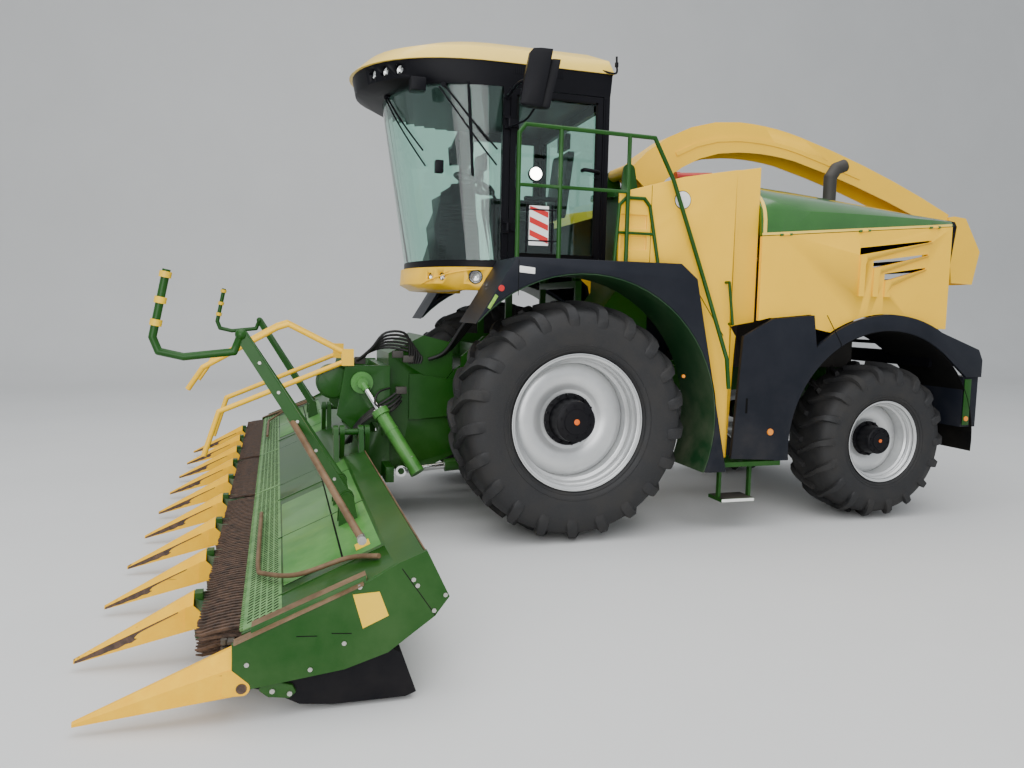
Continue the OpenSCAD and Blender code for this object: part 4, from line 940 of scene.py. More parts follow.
def make_lamp_set(name, material, profile):
    bm = bmesh.new()
    for angle, z, nose, radius, reach in VISOR_LAMPS + SKIRT_LAMPS:
        at = Vector(cab_curve(angle, nose, CAB_HALF, z))
        out = Vector((math.cos(math.radians(angle)), math.sin(math.radians(angle)), 0))
        join_rings(bm, [ring_at(place(*(at + out * (reach + d * radius))), out, radius * r / 1000, 20)
                        for r, d in profile])
    return keep_mesh(bm, name, material, "machine", 40)


lamp_bowls = make_lamp_set("lamp_bowls", chrome, BOWL_PROFILE)
lamp_rings = make_lamp_set("lamp_rings", black_plastic, RING_PROFILE)


def make_lit_lamp():
    housing = [(add_rod, (255, 935, 3010), (255, 975, 3010), 58, 20, 62),
               (add_rod, (255, 884, 3010), (255, 940, 3010), 16),
               (add_box, (238, 883, 2970), (272, 890, 3050))]
    lamp = make_piece("door_lamp", black_plastic, "cab_door", housing, 40)
    lens = [ring_at(place(255, y, 3010), Vector((0, 1, 0)), r / 1000, 20)
            for y, r in ((972, 54), (978, 50), (982, 30), (983, 4))]
    make_piece("door_lamp_lens", lit_lens, "cab_door", [(join_rings, lens)], 50)
    return lamp


lit_lens = make_glass("lit_lens", (1.0, 0.98, 0.92, 1), 0.2, emission=14.0)
print("lamps", lamp_bowls.name, lamp_rings.name, make_lit_lamp().name)

# %% [markdown]
# Inside the cab the photograph shows a ribbed console at the front, a wheel with
# three spokes, two screens and a tall seat. This cell makes the console's cowl and
# the screens. The ribs are one thin bar, copied up the cowl's left side by the tree.
# %% Inside the cab
# The cowl's sections: height, half width, and where each begins and ends.
COWL_SECTIONS = ((2300, 330, 540, 960), (2620, 320, 560, 940), (2900, 250, 590, 900), (3030, 120, 600, 760))


def make_console_cowl():
    rings = []
    for z, half, x0, x1 in COWL_SECTIONS:
        outline = ((x0, -half), (x1 - 90, -half), (x1, -half * 0.6), (x1, half * 0.6), (x1 - 90, half),
                   (x0, half))
        rings.append([place(x, y, z) for x, y in outline])
    screens = [(add_box, (520, 180, 3110), (560, 420, 3260)),
               (add_rod, (560, 300, 2950), (545, 300, 3130), 18),
               (add_box, (480, -470, 3060), (520, -260, 3250)),
               (add_rod, (500, -380, 2900), (500, -380, 3070), 18)]
    return make_piece("console_cowl", black_plastic, "machine", [(join_rings, rings), *screens], 35, 0.012)


def make_cowl_ribs():
    rib = bmesh.new()
    add_box(rib, (610, 318, 2330), (930, 330, 2342))
    return repeat_row("cowl_ribs", rib, 14, (0, 0, 36), black_plastic, "machine")


print(make_console_cowl().name, make_cowl_ribs().name)

# %% [markdown]
# Panels meet in dark seams, and the arches have green and black liners. Thin dark
# strips laid in the seams and a curved sheet inside each arch give the panels their
# edges, which matter more at this distance than any small screw.
# %% Seams and liners
PANEL_Y, ENGINE_PANEL_Y, FENDER_Y = 1380.6, 1430.4, 1490
ARC_STEPS, LINER_WALL = 28, 6
# Each seam: its outline, the panel it lies in and how far it stands proud.
SEAMS = ((((-609, 2290), (-613, 2290), (-613, 2915), (-609, 2914)), PANEL_Y, 0.8),
         (((-1008, 2150), (-1330, 1702), (-1326, 1697), (-1004, 2146)), PANEL_Y, 0.8),
         (((-2326, 1893), (-2334, 1893), (-2500, 1640), (-2500, 1600), (-2493, 1600), (-2492, 1638)),
          ENGINE_PANEL_Y, 0.8),
         (((-1548, 1165), (-1568, 1165), (-1568, 1035), (-1548, 1035)), ENGINE_PANEL_Y, 1.2),
         (((540, 1990), (545, 1990), (545, 2262), (540, 2262)), FENDER_Y, 0.8))


def add_arc_sheet(bm, centre, radius, y0, y1, first, last):
    rings = []
    for k in range(ARC_STEPS + 1):
        a = math.radians(first + (last - first) * k / ARC_STEPS)
        rings.append([place(centre[0] + r * math.cos(a), y, centre[1] + r * math.sin(a))
                      for r, y in ((radius, y0), (radius, y1), (radius - LINER_WALL, y1),
                                   (radius - LINER_WALL, y0))])
    join_rings(bm, rings)


def make_arch_liner(name, material, centre, radius, inside, outside, first, last):
    return make_piece(name, material, "machine",
                      [(add_arc_sheet, centre, radius, side * inside, side * outside, first, last)
                       for side in (1, -1)], 40)


def make_seams():
    return make_piece("panel_seams", deep_black, "machine",
                      [(add_plate, outline, side * (y - 2), side * (y + proud))
                       for side in (1, -1) for outline, y, proud in SEAMS])


def make_skirt_swage():
    lines = [[cab_curve(90 - (4 + 52 * t), 1230, side * 893, 2216 - 120 * t * t - 10 * t)
              for t in (0.0, 0.2, 0.4, 0.6, 0.8, 1.0)] for side in (1, -1)]
    return make_piece("skirt_swage", yellow_paint, "machine", [(add_hose, line, 6, 8) for line in lines], 60)


green_liner = finish("green_liner", (0.008, 0.05, 0.014), 0.5, dust_height=1.6)
front_liner = make_arch_liner("front_arch_liner", green_liner, (-30, FRONT_AXLE_Z), 1193, 910, 1486,
                              42, 202)
rear_liner = make_arch_liner("rear_arch_liner", deep_black, (-3030, 735), 1028, 700, 1420, 28, 186)
print(front_liner.name, rear_liner.name, make_seams().name, make_skirt_swage().name)

# %% [markdown]
# The hood's green field is edged in pale yellow along its front arch and its foot.
# The edging follows the same curve as the hood, so the function below repeats the
# hood's rule: how wide, how high and how arched it is at each place along it.
# %% Hood edging
HOOD_FRONT, HOOD_LENGTH, HOOD_HALF = -1661.3, 2038.7, 1380
HOOD_FOOT, FOOT_RISE = 2561, 180
HOOD_TOP, TOP_DROP = 3160, 300
EDGING_LIFT, EDGING_WALL, EDGING_CENTRE_Z = 3, 8, 2500
STRIPS_FROM, FOOT_STRIPS, STRIP_LENGTH = -1664, 24, 84


def hood_foot(t):
    return HOOD_FOOT + FOOT_RISE * t


def edging_point(t, k):
    """A point just above the hood: t along it from the front, k over it from right to left."""
    foot = hood_foot(t)
    top = HOOD_TOP - TOP_DROP * (0.55 * t + 0.45 * t * t) + EDGING_LIFT
    a = math.pi * (1 - k)
    height = foot + (top - foot) * math.sin(a) ** 0.6 if 0 < k < 1 else foot
    return Vector((HOOD_FRONT - HOOD_LENGTH * t, (HOOD_HALF + EDGING_LIFT) * math.cos(a), height))


def make_hood_edging():
    bm = bmesh.new()
    rings = []
    for k in range(41):
        front, back = (edging_point(t, k / 40) for t in (0.006, 0.022))
        inner = [p + (Vector((p.x, 0, EDGING_CENTRE_Z)) - p).normalized() * EDGING_WALL
                 for p in (back, front)]
        rings.append([place(*p) for p in (front, back, *inner)])
    join_rings(bm, rings)
    for side in (1, -1):
        for k in range(FOOT_STRIPS):
            x0, x1 = (STRIPS_FROM - STRIP_LENGTH * n for n in (k, k + 1))
            z0, z1 = (hood_foot((HOOD_FRONT - x) / HOOD_LENGTH) for x in (x0, x1))
            add_plate(bm, ((x0, z0), (x1, z1), (x1, z1 + 22), (x0, z0 + 22)), side * 1376, side * 1383)
    return keep_mesh(bm, "hood_edging", cream_paint, "machine", 40)


print(make_hood_edging().name)

# %% [markdown]
# Small plates, lamps and reflectors sit on the fenders and the cladding. Plates are
# left blank. They are flat shapes a few millimetres thick on the panel they are
# fixed to, in their own colours.
# %% Plates and reflectors
def make_disc(name, at, radius, material, thick=4):
    x, y, z = at
    side = 1 if y > 0 else -1
    sections = ((-2, radius), (thick * 0.6, radius), (thick, radius * 0.93), (thick, radius * 0.1))
    rings = [ring_at(place(x, y + side * d, z), Vector((0, side, 0)), r / 1000, 28) for d, r in sections]
    return make_piece(name, material, "machine", [(join_rings, rings)], 40)


def make_flat_plate(name, corners, y, side, material):
    return make_piece(name, material, "machine", [(add_plate, corners, side * (y - 1), side * (y + 4))], 30,
                      0.001)


BLANK_PLATE = ((536, 2168), (412, 2158), (412, 2206), (536, 2218))
FENDER_REFLECTOR = ((786, 1892), (764, 1879), (702, 1981), (724, 1995))
# Name, place, radius, finish and thickness of the discs that follow the reflectors.
DISCS = (("fender_marker", (-903, 1490, 1363), 15, amber_lens, 8),
         ("rear_marker", (-1806, 1430, 866), 30, amber_lens, 10),
         ("blank_disc", (-892, 1380, 2812), 76, black_plastic, 2),
         ("blank_disc_face", (-892, 1382, 2812), 70, white_mark, 3))

reflector_green = finish("reflector_green", (0.22, 0.42, 0.05), 0.3, coat=0.4, dust=0.1, tone=0.35, patch=30)
for tag, side in SIDES:
    make_flat_plate("blank_plate_" + tag, BLANK_PLATE, 1490, side, white_mark)
    make_disc("red_reflector_" + tag, (678, side * 1490, 2042), 24, red_mark)
    make_flat_plate("fender_reflector_" + tag, FENDER_REFLECTOR, 1489, side, reflector_green)
    for name, (x, y, z), radius, material, thick in DISCS:
        make_disc(f"{name}_{tag}", (x, side * y, z), radius, material, thick)
print("plates and reflectors placed")

# %% [markdown]
# Nine row snouts and two outer ones part the standing crop. Each has a flat ridge
# band folded down into two flanks, and an ear with a bolt low at its back. Stalks
# have worn the row snouts' flanks to rust, and that patch is a thin skin of its own.
# %% Snouts
ROW = 750
ROW_BACK, ROW_TIP = 2742, 3318
OUTER_BACK, OUTER_TIP, OUTER_Y = 2522, 3178, 3664
# The body, the name, the rows and the side of each part of the header.
PARTS = (("header", "centre", (-1, 0, 1), 0), ("wing_left", "left", (2, 3, 4), 1),
         ("wing_right", "right", (-2, -3, -4), -1))
# Half width, low edge, crease, ridge and half of the ridge band, at the back and tip.
ROW_SIZES, OUTER_SIZES, TIP_SIZES = (72, 192, 326, 376, 14), (78, 132, 262, 332, 14), (9, 42, 54, 64, 3)
EAR_RADIUS = 34


def snout_at(t, back, tip, sizes):
    """Section of a snout at share t of the way to its tip."""
    return (back + (tip - back) * t, *(a + (b - a) * t for a, b in zip(sizes, TIP_SIZES)))


def snout_ring(y, section):
    x, half, low, crease, ridge, flat = section
    return [place(x, y + s, z) for s, z in ((-half, low), (-half, crease), (-flat, ridge), (flat, ridge),
                                            (half, crease), (half, low), (half - 8, low + 5),
                                            (8 - half, low + 5))]


def ear_outline(x, low, crease):
    angles = [math.radians(a) for a in range(130, 300, 17)]
    turned = [(x - 42 + EAR_RADIUS * math.cos(a), low + EAR_RADIUS + EAR_RADIUS * math.sin(a))
              for a in angles]
    return [(x + 40, crease - 14), (x + 2, crease - 6), *turned, (x + 44, low + 4)]


def add_snout(bm, y, back, tip, sizes):
    join_rings(bm, [snout_ring(y, snout_at(t, back, tip, sizes)) for t in (0, 0.3, 0.6, 0.85, 1)])
    x, half, low, crease = snout_at(0, back, tip, sizes)[:4]
    for side in (1, -1):
        add_plate(bm, ear_outline(x, low, crease), *sorted((y + side * (half - 6), y + side * (half + 2))))


def make_snouts(body, tag, rows, side):
    snouts = [(add_snout, k * ROW, ROW_BACK, ROW_TIP, ROW_SIZES) for k in rows]
    if side:
        snouts.append((add_snout, side * OUTER_Y, OUTER_BACK, OUTER_TIP, OUTER_SIZES))
    node = "centre_points" if tag == "centre" else "wing_points_" + tag
    return make_piece(node + "_folded", snout_paint, body, snouts, 20, replaced=(node,))


# The worn patch's outline on a flank: share of the way to the tip, share of the way up.
WORN = [(0.99, 0.05), (0.99, 0.98), (0.86, 0.99), (0.72, 0.99), (0.56, 0.98), (0.4, 0.99), (0.16, 0.99),
        (0.16, 0.94), (0.34, 0.9), (0.45, 0.86), (0.5, 0.8), (0.53, 0.62), (0.505, 0.5), (0.55, 0.36),
        (0.6, 0.42), (0.66, 0.27), (0.74, 0.3), (0.8, 0.18), (0.88, 0.22), (0.94, 0.1)]


def add_ear_bolt(bm, y, side, back, sizes):
    x, half, low = back - 40, sizes[0], sizes[1] + EAR_RADIUS
    for radius, out, sides in ((24, 4, 16), (13, 7, 6)):
        add_rod(bm, (x, y + side * (half - 6), low), (x, y + side * (half + out), low), radius, sides)


def worn_ring(y, side, shift, lift):
    ring = []
    for t, up in WORN:
        t = min(t + 0.03 * shift * (t < 0.9), 0.995)
        x, half, low, crease = snout_at(t, ROW_BACK, ROW_TIP, ROW_SIZES)[:4]
        ring.append(place(x, y + side * (half + lift), low + (crease - low) * up))
    return ring


def make_worn_skins(body, tag, rows, outer_side):
    bm = bmesh.new()
    if outer_side:
        add_ear_bolt(bm, outer_side * OUTER_Y, outer_side, OUTER_BACK, OUTER_SIZES)
    for n, k in enumerate(rows):
        for side in (1, -1):
            join_rings(bm, [worn_ring(k * ROW, side, (n + side) % 3 - 1, lift) for lift in (-1.5, 1.2)])
            add_ear_bolt(bm, k * ROW, side, ROW_BACK, ROW_SIZES)
    return keep_mesh(bm, "worn_skins_" + tag, rusty_steel, body, 30)


for body, tag, rows, side in PARTS:
    print(make_snouts(body, tag, rows, side).name, make_worn_skins(body, tag, rows, side).name)

# %% [markdown]
# A rounded cup stands behind every row snout: green sheet above and a rusty bowl
# below. Between the cups run the tine chains. Their tines are thin, close together
# and in four layers, and one tine is copied along each chain by the row tree.
# %% Cups and tine chains
CUP_X, CUP_STEPS = 2662, 28
CUP_PROFILE = [(60, 212), (84, 232), (88, 290), (84, 342), (76, 342), (78, 290), (60, 250), (20, 245)]
LOW_BOWL_PROFILE = [(20, 112), (58, 120), (82, 146), (88, 190), (84, 226), (40, 236)]


def add_upright(bm, profile, x, y):
    angles = [2 * math.pi * k / CUP_STEPS for k in range(CUP_STEPS)]
    join_rings(bm, [[place(x + radius * math.cos(a), y + radius * math.sin(a), z) for a in angles]
                    for radius, z in profile])


def make_cups(body, tag, rows):
    for name, material, profile in (("cup_", dark_green, CUP_PROFILE),
                                    ("bowl_", rusty_steel, LOW_BOWL_PROFILE)):
        make_piece(name + tag, material, body, [(add_upright, profile, CUP_X, k * ROW) for k in rows], 40)
    return "cups_" + tag


dark_green = finish("dark_green", (0.008, 0.05, 0.012), 0.45, dust=0.4, patch=8, tone=0.3)
# The body, the solid's name and the two ends of each chain.
CHAINS = (("header", "centre_chain", -840, 840), ("wing_left", "wing_chain_left", 846, 3592),
          ("wing_right", "wing_chain_right", -3592, -846))
# Height, sideways shift, slant and setback of each comb of tines.
LAYERS = ((356, 0, 34, 4), (322, 17, -22, 12), (288, 8, 26, 20), (252, 24, -18, 4))
# Share of the tine's length, droop, half width and height there.
TINE_SECTIONS = ((0, 0, 9, 13), (0.3, 1, 9, 14), (0.62, 8, 8, 14), (0.86, 17, 6, 11), (1, 14, 2, 5))
TINE_ROOT, TINE_POINT = 2476, 2694
TINE_PITCH, LINK_PITCH = 39, 68


def make_tine(y, z, slant, back):
    tine = bmesh.new()
    rings = []
    for t, drop, wide, tall in TINE_SECTIONS:
        x = TINE_ROOT + back + (TINE_POINT - TINE_ROOT - back) * t
        outline = ((-wide, -tall / 2), (0, -tall / 2 - 3), (wide, -tall / 2), (wide, tall / 2),
                   (-wide, tall / 2))
        rings.append([place(x, y + slant * t + a, z - drop + b) for a, b in outline])
    join_rings(tine, rings)
    return tine


def make_tines(body, node, y0, y1):
    for n, (z, shift, slant, back) in enumerate(LAYERS):
        count = int((y1 - y0 - 60) / TINE_PITCH)
        repeat_row(f"{node}_tines_{n}", make_tine(y0 + 30 + shift, z, slant, back), count, (0, TINE_PITCH, 0),
                   rusty_steel, body, angle=40, replaced=(node,) if n == 0 else ())
    link = bmesh.new()
    for z in (304, 268):
        add_box(link, (2520, y0 + 6, z - 7), (2550, y0 + 62, z + 7))
        add_rod(link, (2566, y0 + 34, z - 12), (2566, y0 + 34, z + 12), 15, 10)
    repeat_row(node + "_links", link, int((y1 - y0 - 10) / LINK_PITCH), (0, LINK_PITCH, 0), cast_iron, body)
    return node


for body, tag, rows, side in PARTS:
    print(make_cups(body, tag, rows))
for body, node, y0, y1 in CHAINS:
    print(make_tines(body, node, y0, y1))

# %% [markdown]
# The stripper strip between chain and deck is worn pale and pierced by rows of short slanted slots. Beside it
# lie a bent pipe and the deck's own raised panels, whose paler green is painted light on their upward faces,
# with worn patches and dust in it.
# Slots are dark flat bars just above the strip, painted shade standing for the openings, repeated by the row
# tree.
# %% Stripper strip and deck top
STRIP_SLOPE = math.atan(55 / 150)
STRIP_X, STRIP_Z = 2307, 438.6
SLOT_PITCH, TOOTH_PITCH, SLOT_ROWS = 37, 29, 5
STRIPS = (("header", "centre", -838, 838), ("wing_left", "left", 850, 3600),
          ("wing_right", "right", -3600, -850))


def strip_point(along, y, lift=0.0):
    return (STRIP_X + along * math.cos(STRIP_SLOPE) + lift * math.sin(STRIP_SLOPE), y,
            STRIP_Z - along * math.sin(STRIP_SLOPE) + lift * math.cos(STRIP_SLOPE))


def add_strip_bar(bm, a0, a1, ys, low, high):
    corners = list(zip((a0, a1, a1, a0), ys))
    join_rings(bm, [[place(*strip_point(a, y, lift)) for a, y in corners] for lift in (low, high)])


worn_green = finish("worn_green", (0.10, 0.24, 0.07), 0.5, dust=0.3, dust_height=1.0, tone=0.35, patch=14)
# The deck green is a paler copy of the green paint: the paleness is painted light on the decks' upward faces,
# and its wandering tone and dust are worn patches and dirt.
deck_green = finish("deck_green", (0.05, 0.20, 0.028), 0.4, coat=0.2, dust=0.25, dust_height=1.2,
                    tone=0.25, patch=4)
plain_yellow = finish("plain_yellow", (0.80, 0.50, 0.01), 0.4, dust=0.15)


def make_strip(body, tag, y0, y1):
    make_piece("strip_" + tag, worn_green, body, [(add_strip_bar, -2, 184, (y0, y0, y1, y1), -3, 2)])
    slot = bmesh.new()
    for n in range(SLOT_ROWS):
        a = 14 + 32 * n
        add_strip_bar(slot, a, a + 23, (y0 + 8, y0 + 19, y0 + 31, y0 + 20), -1, 2.8)
    # The slots are dark bars of painted shade, standing for openings in the strip.
    repeat_row("strip_slots_" + tag, slot, int((y1 - y0 - 36) / SLOT_PITCH), (0, SLOT_PITCH, 0), deep_black,
               body)
    teeth = bmesh.new()
    add_strip_bar(teeth, 182, 202, (y0 + 6, y0 + 10, y0 + 18, y0 + 22), -14, 1)
    repeat_row("strip_teeth_" + tag, teeth, int((y1 - y0 - 20) / TOOTH_PITCH), (0, TOOTH_PITCH, 0),
               worn_green, body)
    return "strip_" + tag


def deck_height(x):
    return 660 - (x - 1790) * 230 / 540


def add_deck_sheet(bm, side, x0, x1, near, far, lift):
    y0, y1 = on_side(side, near, far)
    outline = ((y0, -2), (y1, -2), (y1, lift), (y0, lift))
    steps = [x0 + (x1 - x0) * k / 4 for k in range(5)]
    join_rings(bm, [[place(x, y, deck_height(x) + d) for y, d in outline] for x in steps])


# Each group of flat sheets on a deck: name, finish, edge round, and for each sheet
# its back, front, near and far edge and how high it lies.
DECK_SHEETS = (
    # The raised panels take the deck green with its painted light.
    ("deck_panels", deck_green, 0.002, ((2006, 2296, 1520, 3230, 4), (1810, 1996, 900, 3300, 2))),
    ("deck_gaps", deep_black, 0.0, ((2000, 2300, 1512, 1520, 1), (2000, 2300, 3232, 3240, 1),
                                    (1997, 2005, 900, 3300, 1))),
    ("deck_patch", plain_yellow, 0.0, ((1858, 1930, 3130, 3225, 5),)))
PIPE_ROUTE = ((2431, 1700, 438), (2431, 2476, 438), (2426, 2903, 438), (2395, 3012, 444),
              (2230, 3278, 514), (1982, 3344, 604), (1846, 3502, 654))
REAR_STRIP = ((1569, 505), (1646, 712), (1640, 716), (1562, 507))


def make_deck_top(body, tag, side):
    for name, material, bevel, sheets in DECK_SHEETS:
        make_piece(f"{name}_{tag}", material, body, [(add_deck_sheet, side, *sheet) for sheet in sheets], 30,
                   bevel)
    pipe = [(x, side * y, z) for x, y, z in PIPE_ROUTE]
    make_piece("deck_pipe_" + tag, tan_steel, body, [(add_hose, pipe, 13, 10)], 50)
    strip = (add_plate, REAR_STRIP, *on_side(side, 900, 3690))
    make_piece("deck_rear_strip_" + tag, tan_steel, body, [strip])
    return "deck_top_" + tag


for body, tag, y0, y1 in STRIPS:
    print(make_strip(body, tag, y0, y1))
for body, tag, rows, side in PARTS[1:]:
    print(make_deck_top(body, tag, side))

# %% [markdown]
# The end plate carries a blank yellow patch, a worn tan top edge, welded seams and a
# few bolts. The seams and the edge are thin bars, and the bolts come from the bolt
# tree. Behind it a lug with two bolts holds the link of the skid.
# %% End plates
LUG_Y = 3700
# Flat pieces by name, finish and edge round, with each outline's inner and outer place.
END_PIECES = (
    ("end_seams", deep_black, 0.0,
     ((((1769, 660), (1766, 663), (1606, 424), (1609, 421)), FACE_Y - 2, FACE_Y + 1.2),
      (((2245, 381), (2245, 385), (2153, 378), (2153, 374)), FACE_Y - 2, FACE_Y + 1),
      (((2089, 380), (2089, 384), (1999, 375), (1999, 371)), FACE_Y - 2, FACE_Y + 1))),
    ("end_patch", plain_yellow, 0.0,
     ((((1994, 557), (1872, 561), (1829, 443), (1948, 392)), FACE_Y - 1, FACE_Y + 1.6),)),
    ("end_edge", tan_steel, 0.0,
     ((((2512, 368), (1945, 597), (1945, 606), (2514, 376)), 3690, 3749),
      (((2440, 402), (1925, 604), (1925, 618), (2440, 416)), 3600, 3700))))
LUG_PIECES = (
    ("pivot_lug", green_paint, 0.006,
     ((((2395, 175), (2350, 182), (2262, 150), (2245, 115), (2275, 88), (2370, 105), (2410, 140)),
       LUG_Y, LUG_Y + 30),)),
    ("skid_link", black_plastic, 0.0,
     ((((2480, 175), (2492, 158), (2300, 96), (1900, 80), (1900, 98), (2290, 116)), LUG_Y - 20, LUG_Y - 4),)))
END_BOLTS = ((1714, 606), (1695, 576), (1615, 448), (1561, 520), (2459, 274), (2033, 330), (1962, 590),
             (2185, 222))
LUG_BOLTS = ((2275, 115), (2351, 135))


def make_flat_set(pieces, body, tag, side):
    for name, material, bevel, plates in pieces:
        make_piece(f"{name}_{tag}", material, body,
                   [(add_plate, outline, side * y0, side * y1) for outline, y0, y1 in plates], 30, bevel)


def make_end_bolts(name, spots, y, body, side, radius, height):
    places = [(x, side * y, z) for x, z in spots]
    return set_bolts(name, places, (0, side, 0), bare_steel, body, radius, height)


for body, tag, rows, side in PARTS[1:]:
    make_flat_set(END_PIECES, body, tag, side)
    print(make_end_bolts("end_bolts_" + tag, END_BOLTS, FACE_Y, body, side, 11, 12).name)
    make_flat_set(LUG_PIECES, body, tag, side)
    print(make_end_bolts("lug_bolts_" + tag, LUG_BOLTS, LUG_Y + 33, body, side, 12, 14).name)

# %% [markdown]
# Each crop bar is a pair of beams with bolts between them, a long worn tan strut
# and coloured bands on its tube. All of it rides the bar, so it folds with it.
# %% Crop bars
BAR_FOOT_X, BAR_FOOT_Z, STRUT_Y = 1930, 740, 3480


def make_crop_bar_parts(body, tag, side):
    top, middle = (2512, side * 2500, 1690), (2250, side * 2500, 1213)
    foot = (BAR_FOOT_X, side * 2600, BAR_FOOT_Z)
    strut_foot = (BAR_FOOT_X, side * STRUT_Y, BAR_FOOT_Z)
    strut = [middle, on_line(middle, strut_foot, 0.5), strut_foot]
    make_piece("strut_" + tag, tan_steel, body, [(add_hose, strut, 19, 10)], 50)
    spots = [on_line(foot, top, t) for t in (0.12, 0.3, 0.48, 0.66, 0.84)]
    bolts = [(add_rod, (x, y - side * 60, z), (x, y + side * 22, z), 10, 8) for x, y, z in spots]
    pin = [(BAR_FOOT_X, side * (STRUT_Y + y), BAR_FOOT_Z) for y in (-40, 40)]
    make_piece("bar_bolts_" + tag, bare_steel, body, [*bolts, (add_rod, *pin, 22, 12)])
    near, far = (2985, side * 2500, 1690), (2913, side * 2500, 2050)
    bands = [(add_rod, on_line(near, far, t0), on_line(near, far, t1), 33, 18)
             for t0, t1 in ((0.15, 0.25), (0.5, 0.6), (0.9, 0.995))]
    make_piece("bar_bands_" + tag, plain_yellow, body, bands, 40)
    return "crop_bar_parts_" + tag


for tag, side in SIDES:
    print(make_crop_bar_parts("crop_bar_" + tag, tag, side))

# %% [markdown]
# The tower behind the decks is full of hydraulics: a black bellows on the feeder,
# hoses in bundles and valve blocks. Every hose here is fixed at both ends to the
# header, so it rides the header.
# %% Tower and hoses
BELLOWS_TOP, BELLOWS_PITCH, BELLOWS_RINGS = 1000, 28, 14
VALVE_BLOCKS = ((1240, 555, 1440), (1330, 555, 1480), (1640, 470, 1420), (1300, 575, 1170))
BLOCK_HALF = Vector((45, 30, 30))


def make_tower_hoses():
    bm = bmesh.new()
    for k in range(6):
        s = k - 2.5
        add_hose(bm, [(1180 + 18 * s, 560, 1400), (1200 + 24 * s, 590 + 14 * s, 1560 + 34 * s),
                      (1420 + 10 * s, 580 + 30 * s, 1600 + 26 * s), (1560, 530 + 34 * s, 1510 + 8 * s),
                      (1640 + 12 * s, 470 + 20 * s, 1420)], 11, 7, 5)
    for k in range(4):
        s = k - 1.5
        add_hose(bm, [(1300, 575, 1180 - 34 * k), (1400, 650 + 26 * s, 1110 - 34 * k),
                      (1560, 680 + 30 * s, 1010 - 12 * k), (1690, 620 + 44 * s, 860),
                      (1750 + 20 * s, 560 + 20 * s, 720)], 12, 7, 5)
    return keep_mesh(bm, "tower_hoses", rubber, "header", 50)


def make_bellows():
    rings = []
    for k in range(BELLOWS_RINGS):
        z = BELLOWS_TOP - BELLOWS_PITCH * k
        rings += [(add_rod, (800, 560, z - half), (800, 560, z + half), radius, 20)
                  for radius, half in ((46, 8), (38, 14))]
    return make_piece("feeder_bellows", rubber, "header", rings, 40)


def make_valve_blocks():
    blocks = [(add_box, Vector(at) - BLOCK_HALF, Vector(at) + BLOCK_HALF) for at in VALVE_BLOCKS]
    return make_piece("valve_blocks", cast_iron, "header", blocks, 30, 0.004)


print(make_tower_hoses().name, make_bellows().name, make_valve_blocks().name)

# %% [markdown]
# The driver's seat is the one padded thing. Each cushion starts as a box that is cut
# into a grid, crowned on its broad faces and drawn in along its sides, and is then
# subdivided. A plain box and two arms carry the cushions.
# %% Seat
def crowned(co, size, crown, thin):
    """Where a point of the unit box goes: broad faces swell, edges are drawn in."""
    first, second = (axis for axis in range(3) if axis != thin)
    u, w = co[first], co[second]
    puff = (1 - u * u) * (1 - w * w)
    near_edge = min(1, 2.2 * (1 - max(abs(u), abs(w))))
    out = [0.0, 0.0, 0.0]
    out[thin] = co[thin] * (size[thin] * (0.72 + 0.28 * near_edge) + crown * puff)
    for axis, other in ((first, w), (second, u)):
        out[axis] = co[axis] * size[axis] * (0.95 + 0.05 * abs(other) ** 3)
    return out


def make_cushion(name, centre, size, crown, thin, lean=0.0, replaced=()):
    bm = bmesh.new()
    bmesh.ops.create_cube(bm, size=2)
    bmesh.ops.subdivide_edges(bm, edges=bm.edges[:], cuts=5, use_grid_fill=True)
    for vert in bm.verts:
        x, y, z = crowned(vert.co, size, crown, thin)
        vert.co = place(centre[0] + x - lean * z, centre[1] + y, centre[2] + z)
    cushion = keep_mesh(bm, name, seat_cloth, "machine", 80)
    rounder = cushion.modifiers.new("rounder", "SUBSURF")
    rounder.levels = 2
    smooth = evaluated_mesh(cushion)
    cushion.modifiers.clear()
    cushion.data = smooth
    smooth.shade_smooth()
    if replaced:
        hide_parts(*replaced)


def make_seat_stand():
    shapes = [(add_box, (-200, -180, 2300), (150, 180, 2712))]
    for y in (262, -262):
        shapes += [(add_box, (-200, y - 28, 2890), (130, y + 28, 2930)),
                   (add_rod, (-190, y, 2740), (-190, y, 2900), 20)]
    return make_piece("seat_stand", black_plastic, "machine", shapes, 30, 0.01)


make_cushion("seat_cushion", (5, 0, 2760), (225, 240, 46), 12, 2, replaced=("seat",))
make_cushion("seat_back", (-302, 0, 3070), (46, 235, 320), 10, 0, 0.12)
make_cushion("head_rest", (-338, 0, 3490), (34, 128, 76), 6, 0)
print("seat", make_seat_stand().name)

# %% [markdown]
# The wing cylinders hang on the tower's side: a bright rod above, a collar with pipe
# fittings, and a thick green barrel with a flat cap.
# %% Wing cylinders
CYL_TOP, CYL_FOOT = (1630, 575, 1235), (1215, 985, 520)
PIN_FLANGES = ((612, 45, 24), (556, 94, 32))
BARREL_RINGS = ((31, 37, 73), (95, 99, 61), (52, 54, 60))
FITTINGS, FITTING_TALL = (40, 92), 88
COLLAR_BOLTS, COLLAR_RADIUS = 6, 58


def cylinder_line(side):
    """A hundred and one points along a wing cylinder, from its top pin to its foot."""
    points = (on_line(CYL_TOP, CYL_FOOT, t / 100) for t in range(101))
    return [(x, side * y, z) for x, y, z in points]


def add_collar_bolts(bm, back, front):
    along = Vector(front) - Vector(back)
    across = along.orthogonal().normalized()
    up = along.normalized().cross(across)
    for k in range(COLLAR_BOLTS):
        angle = math.pi * k / 3
        spot = Vector(back) + (across * math.cos(angle) + up * math.sin(angle)) * COLLAR_RADIUS
        add_rod(bm, tuple(spot), tuple(spot + along.normalized() * 16), 9, 6)


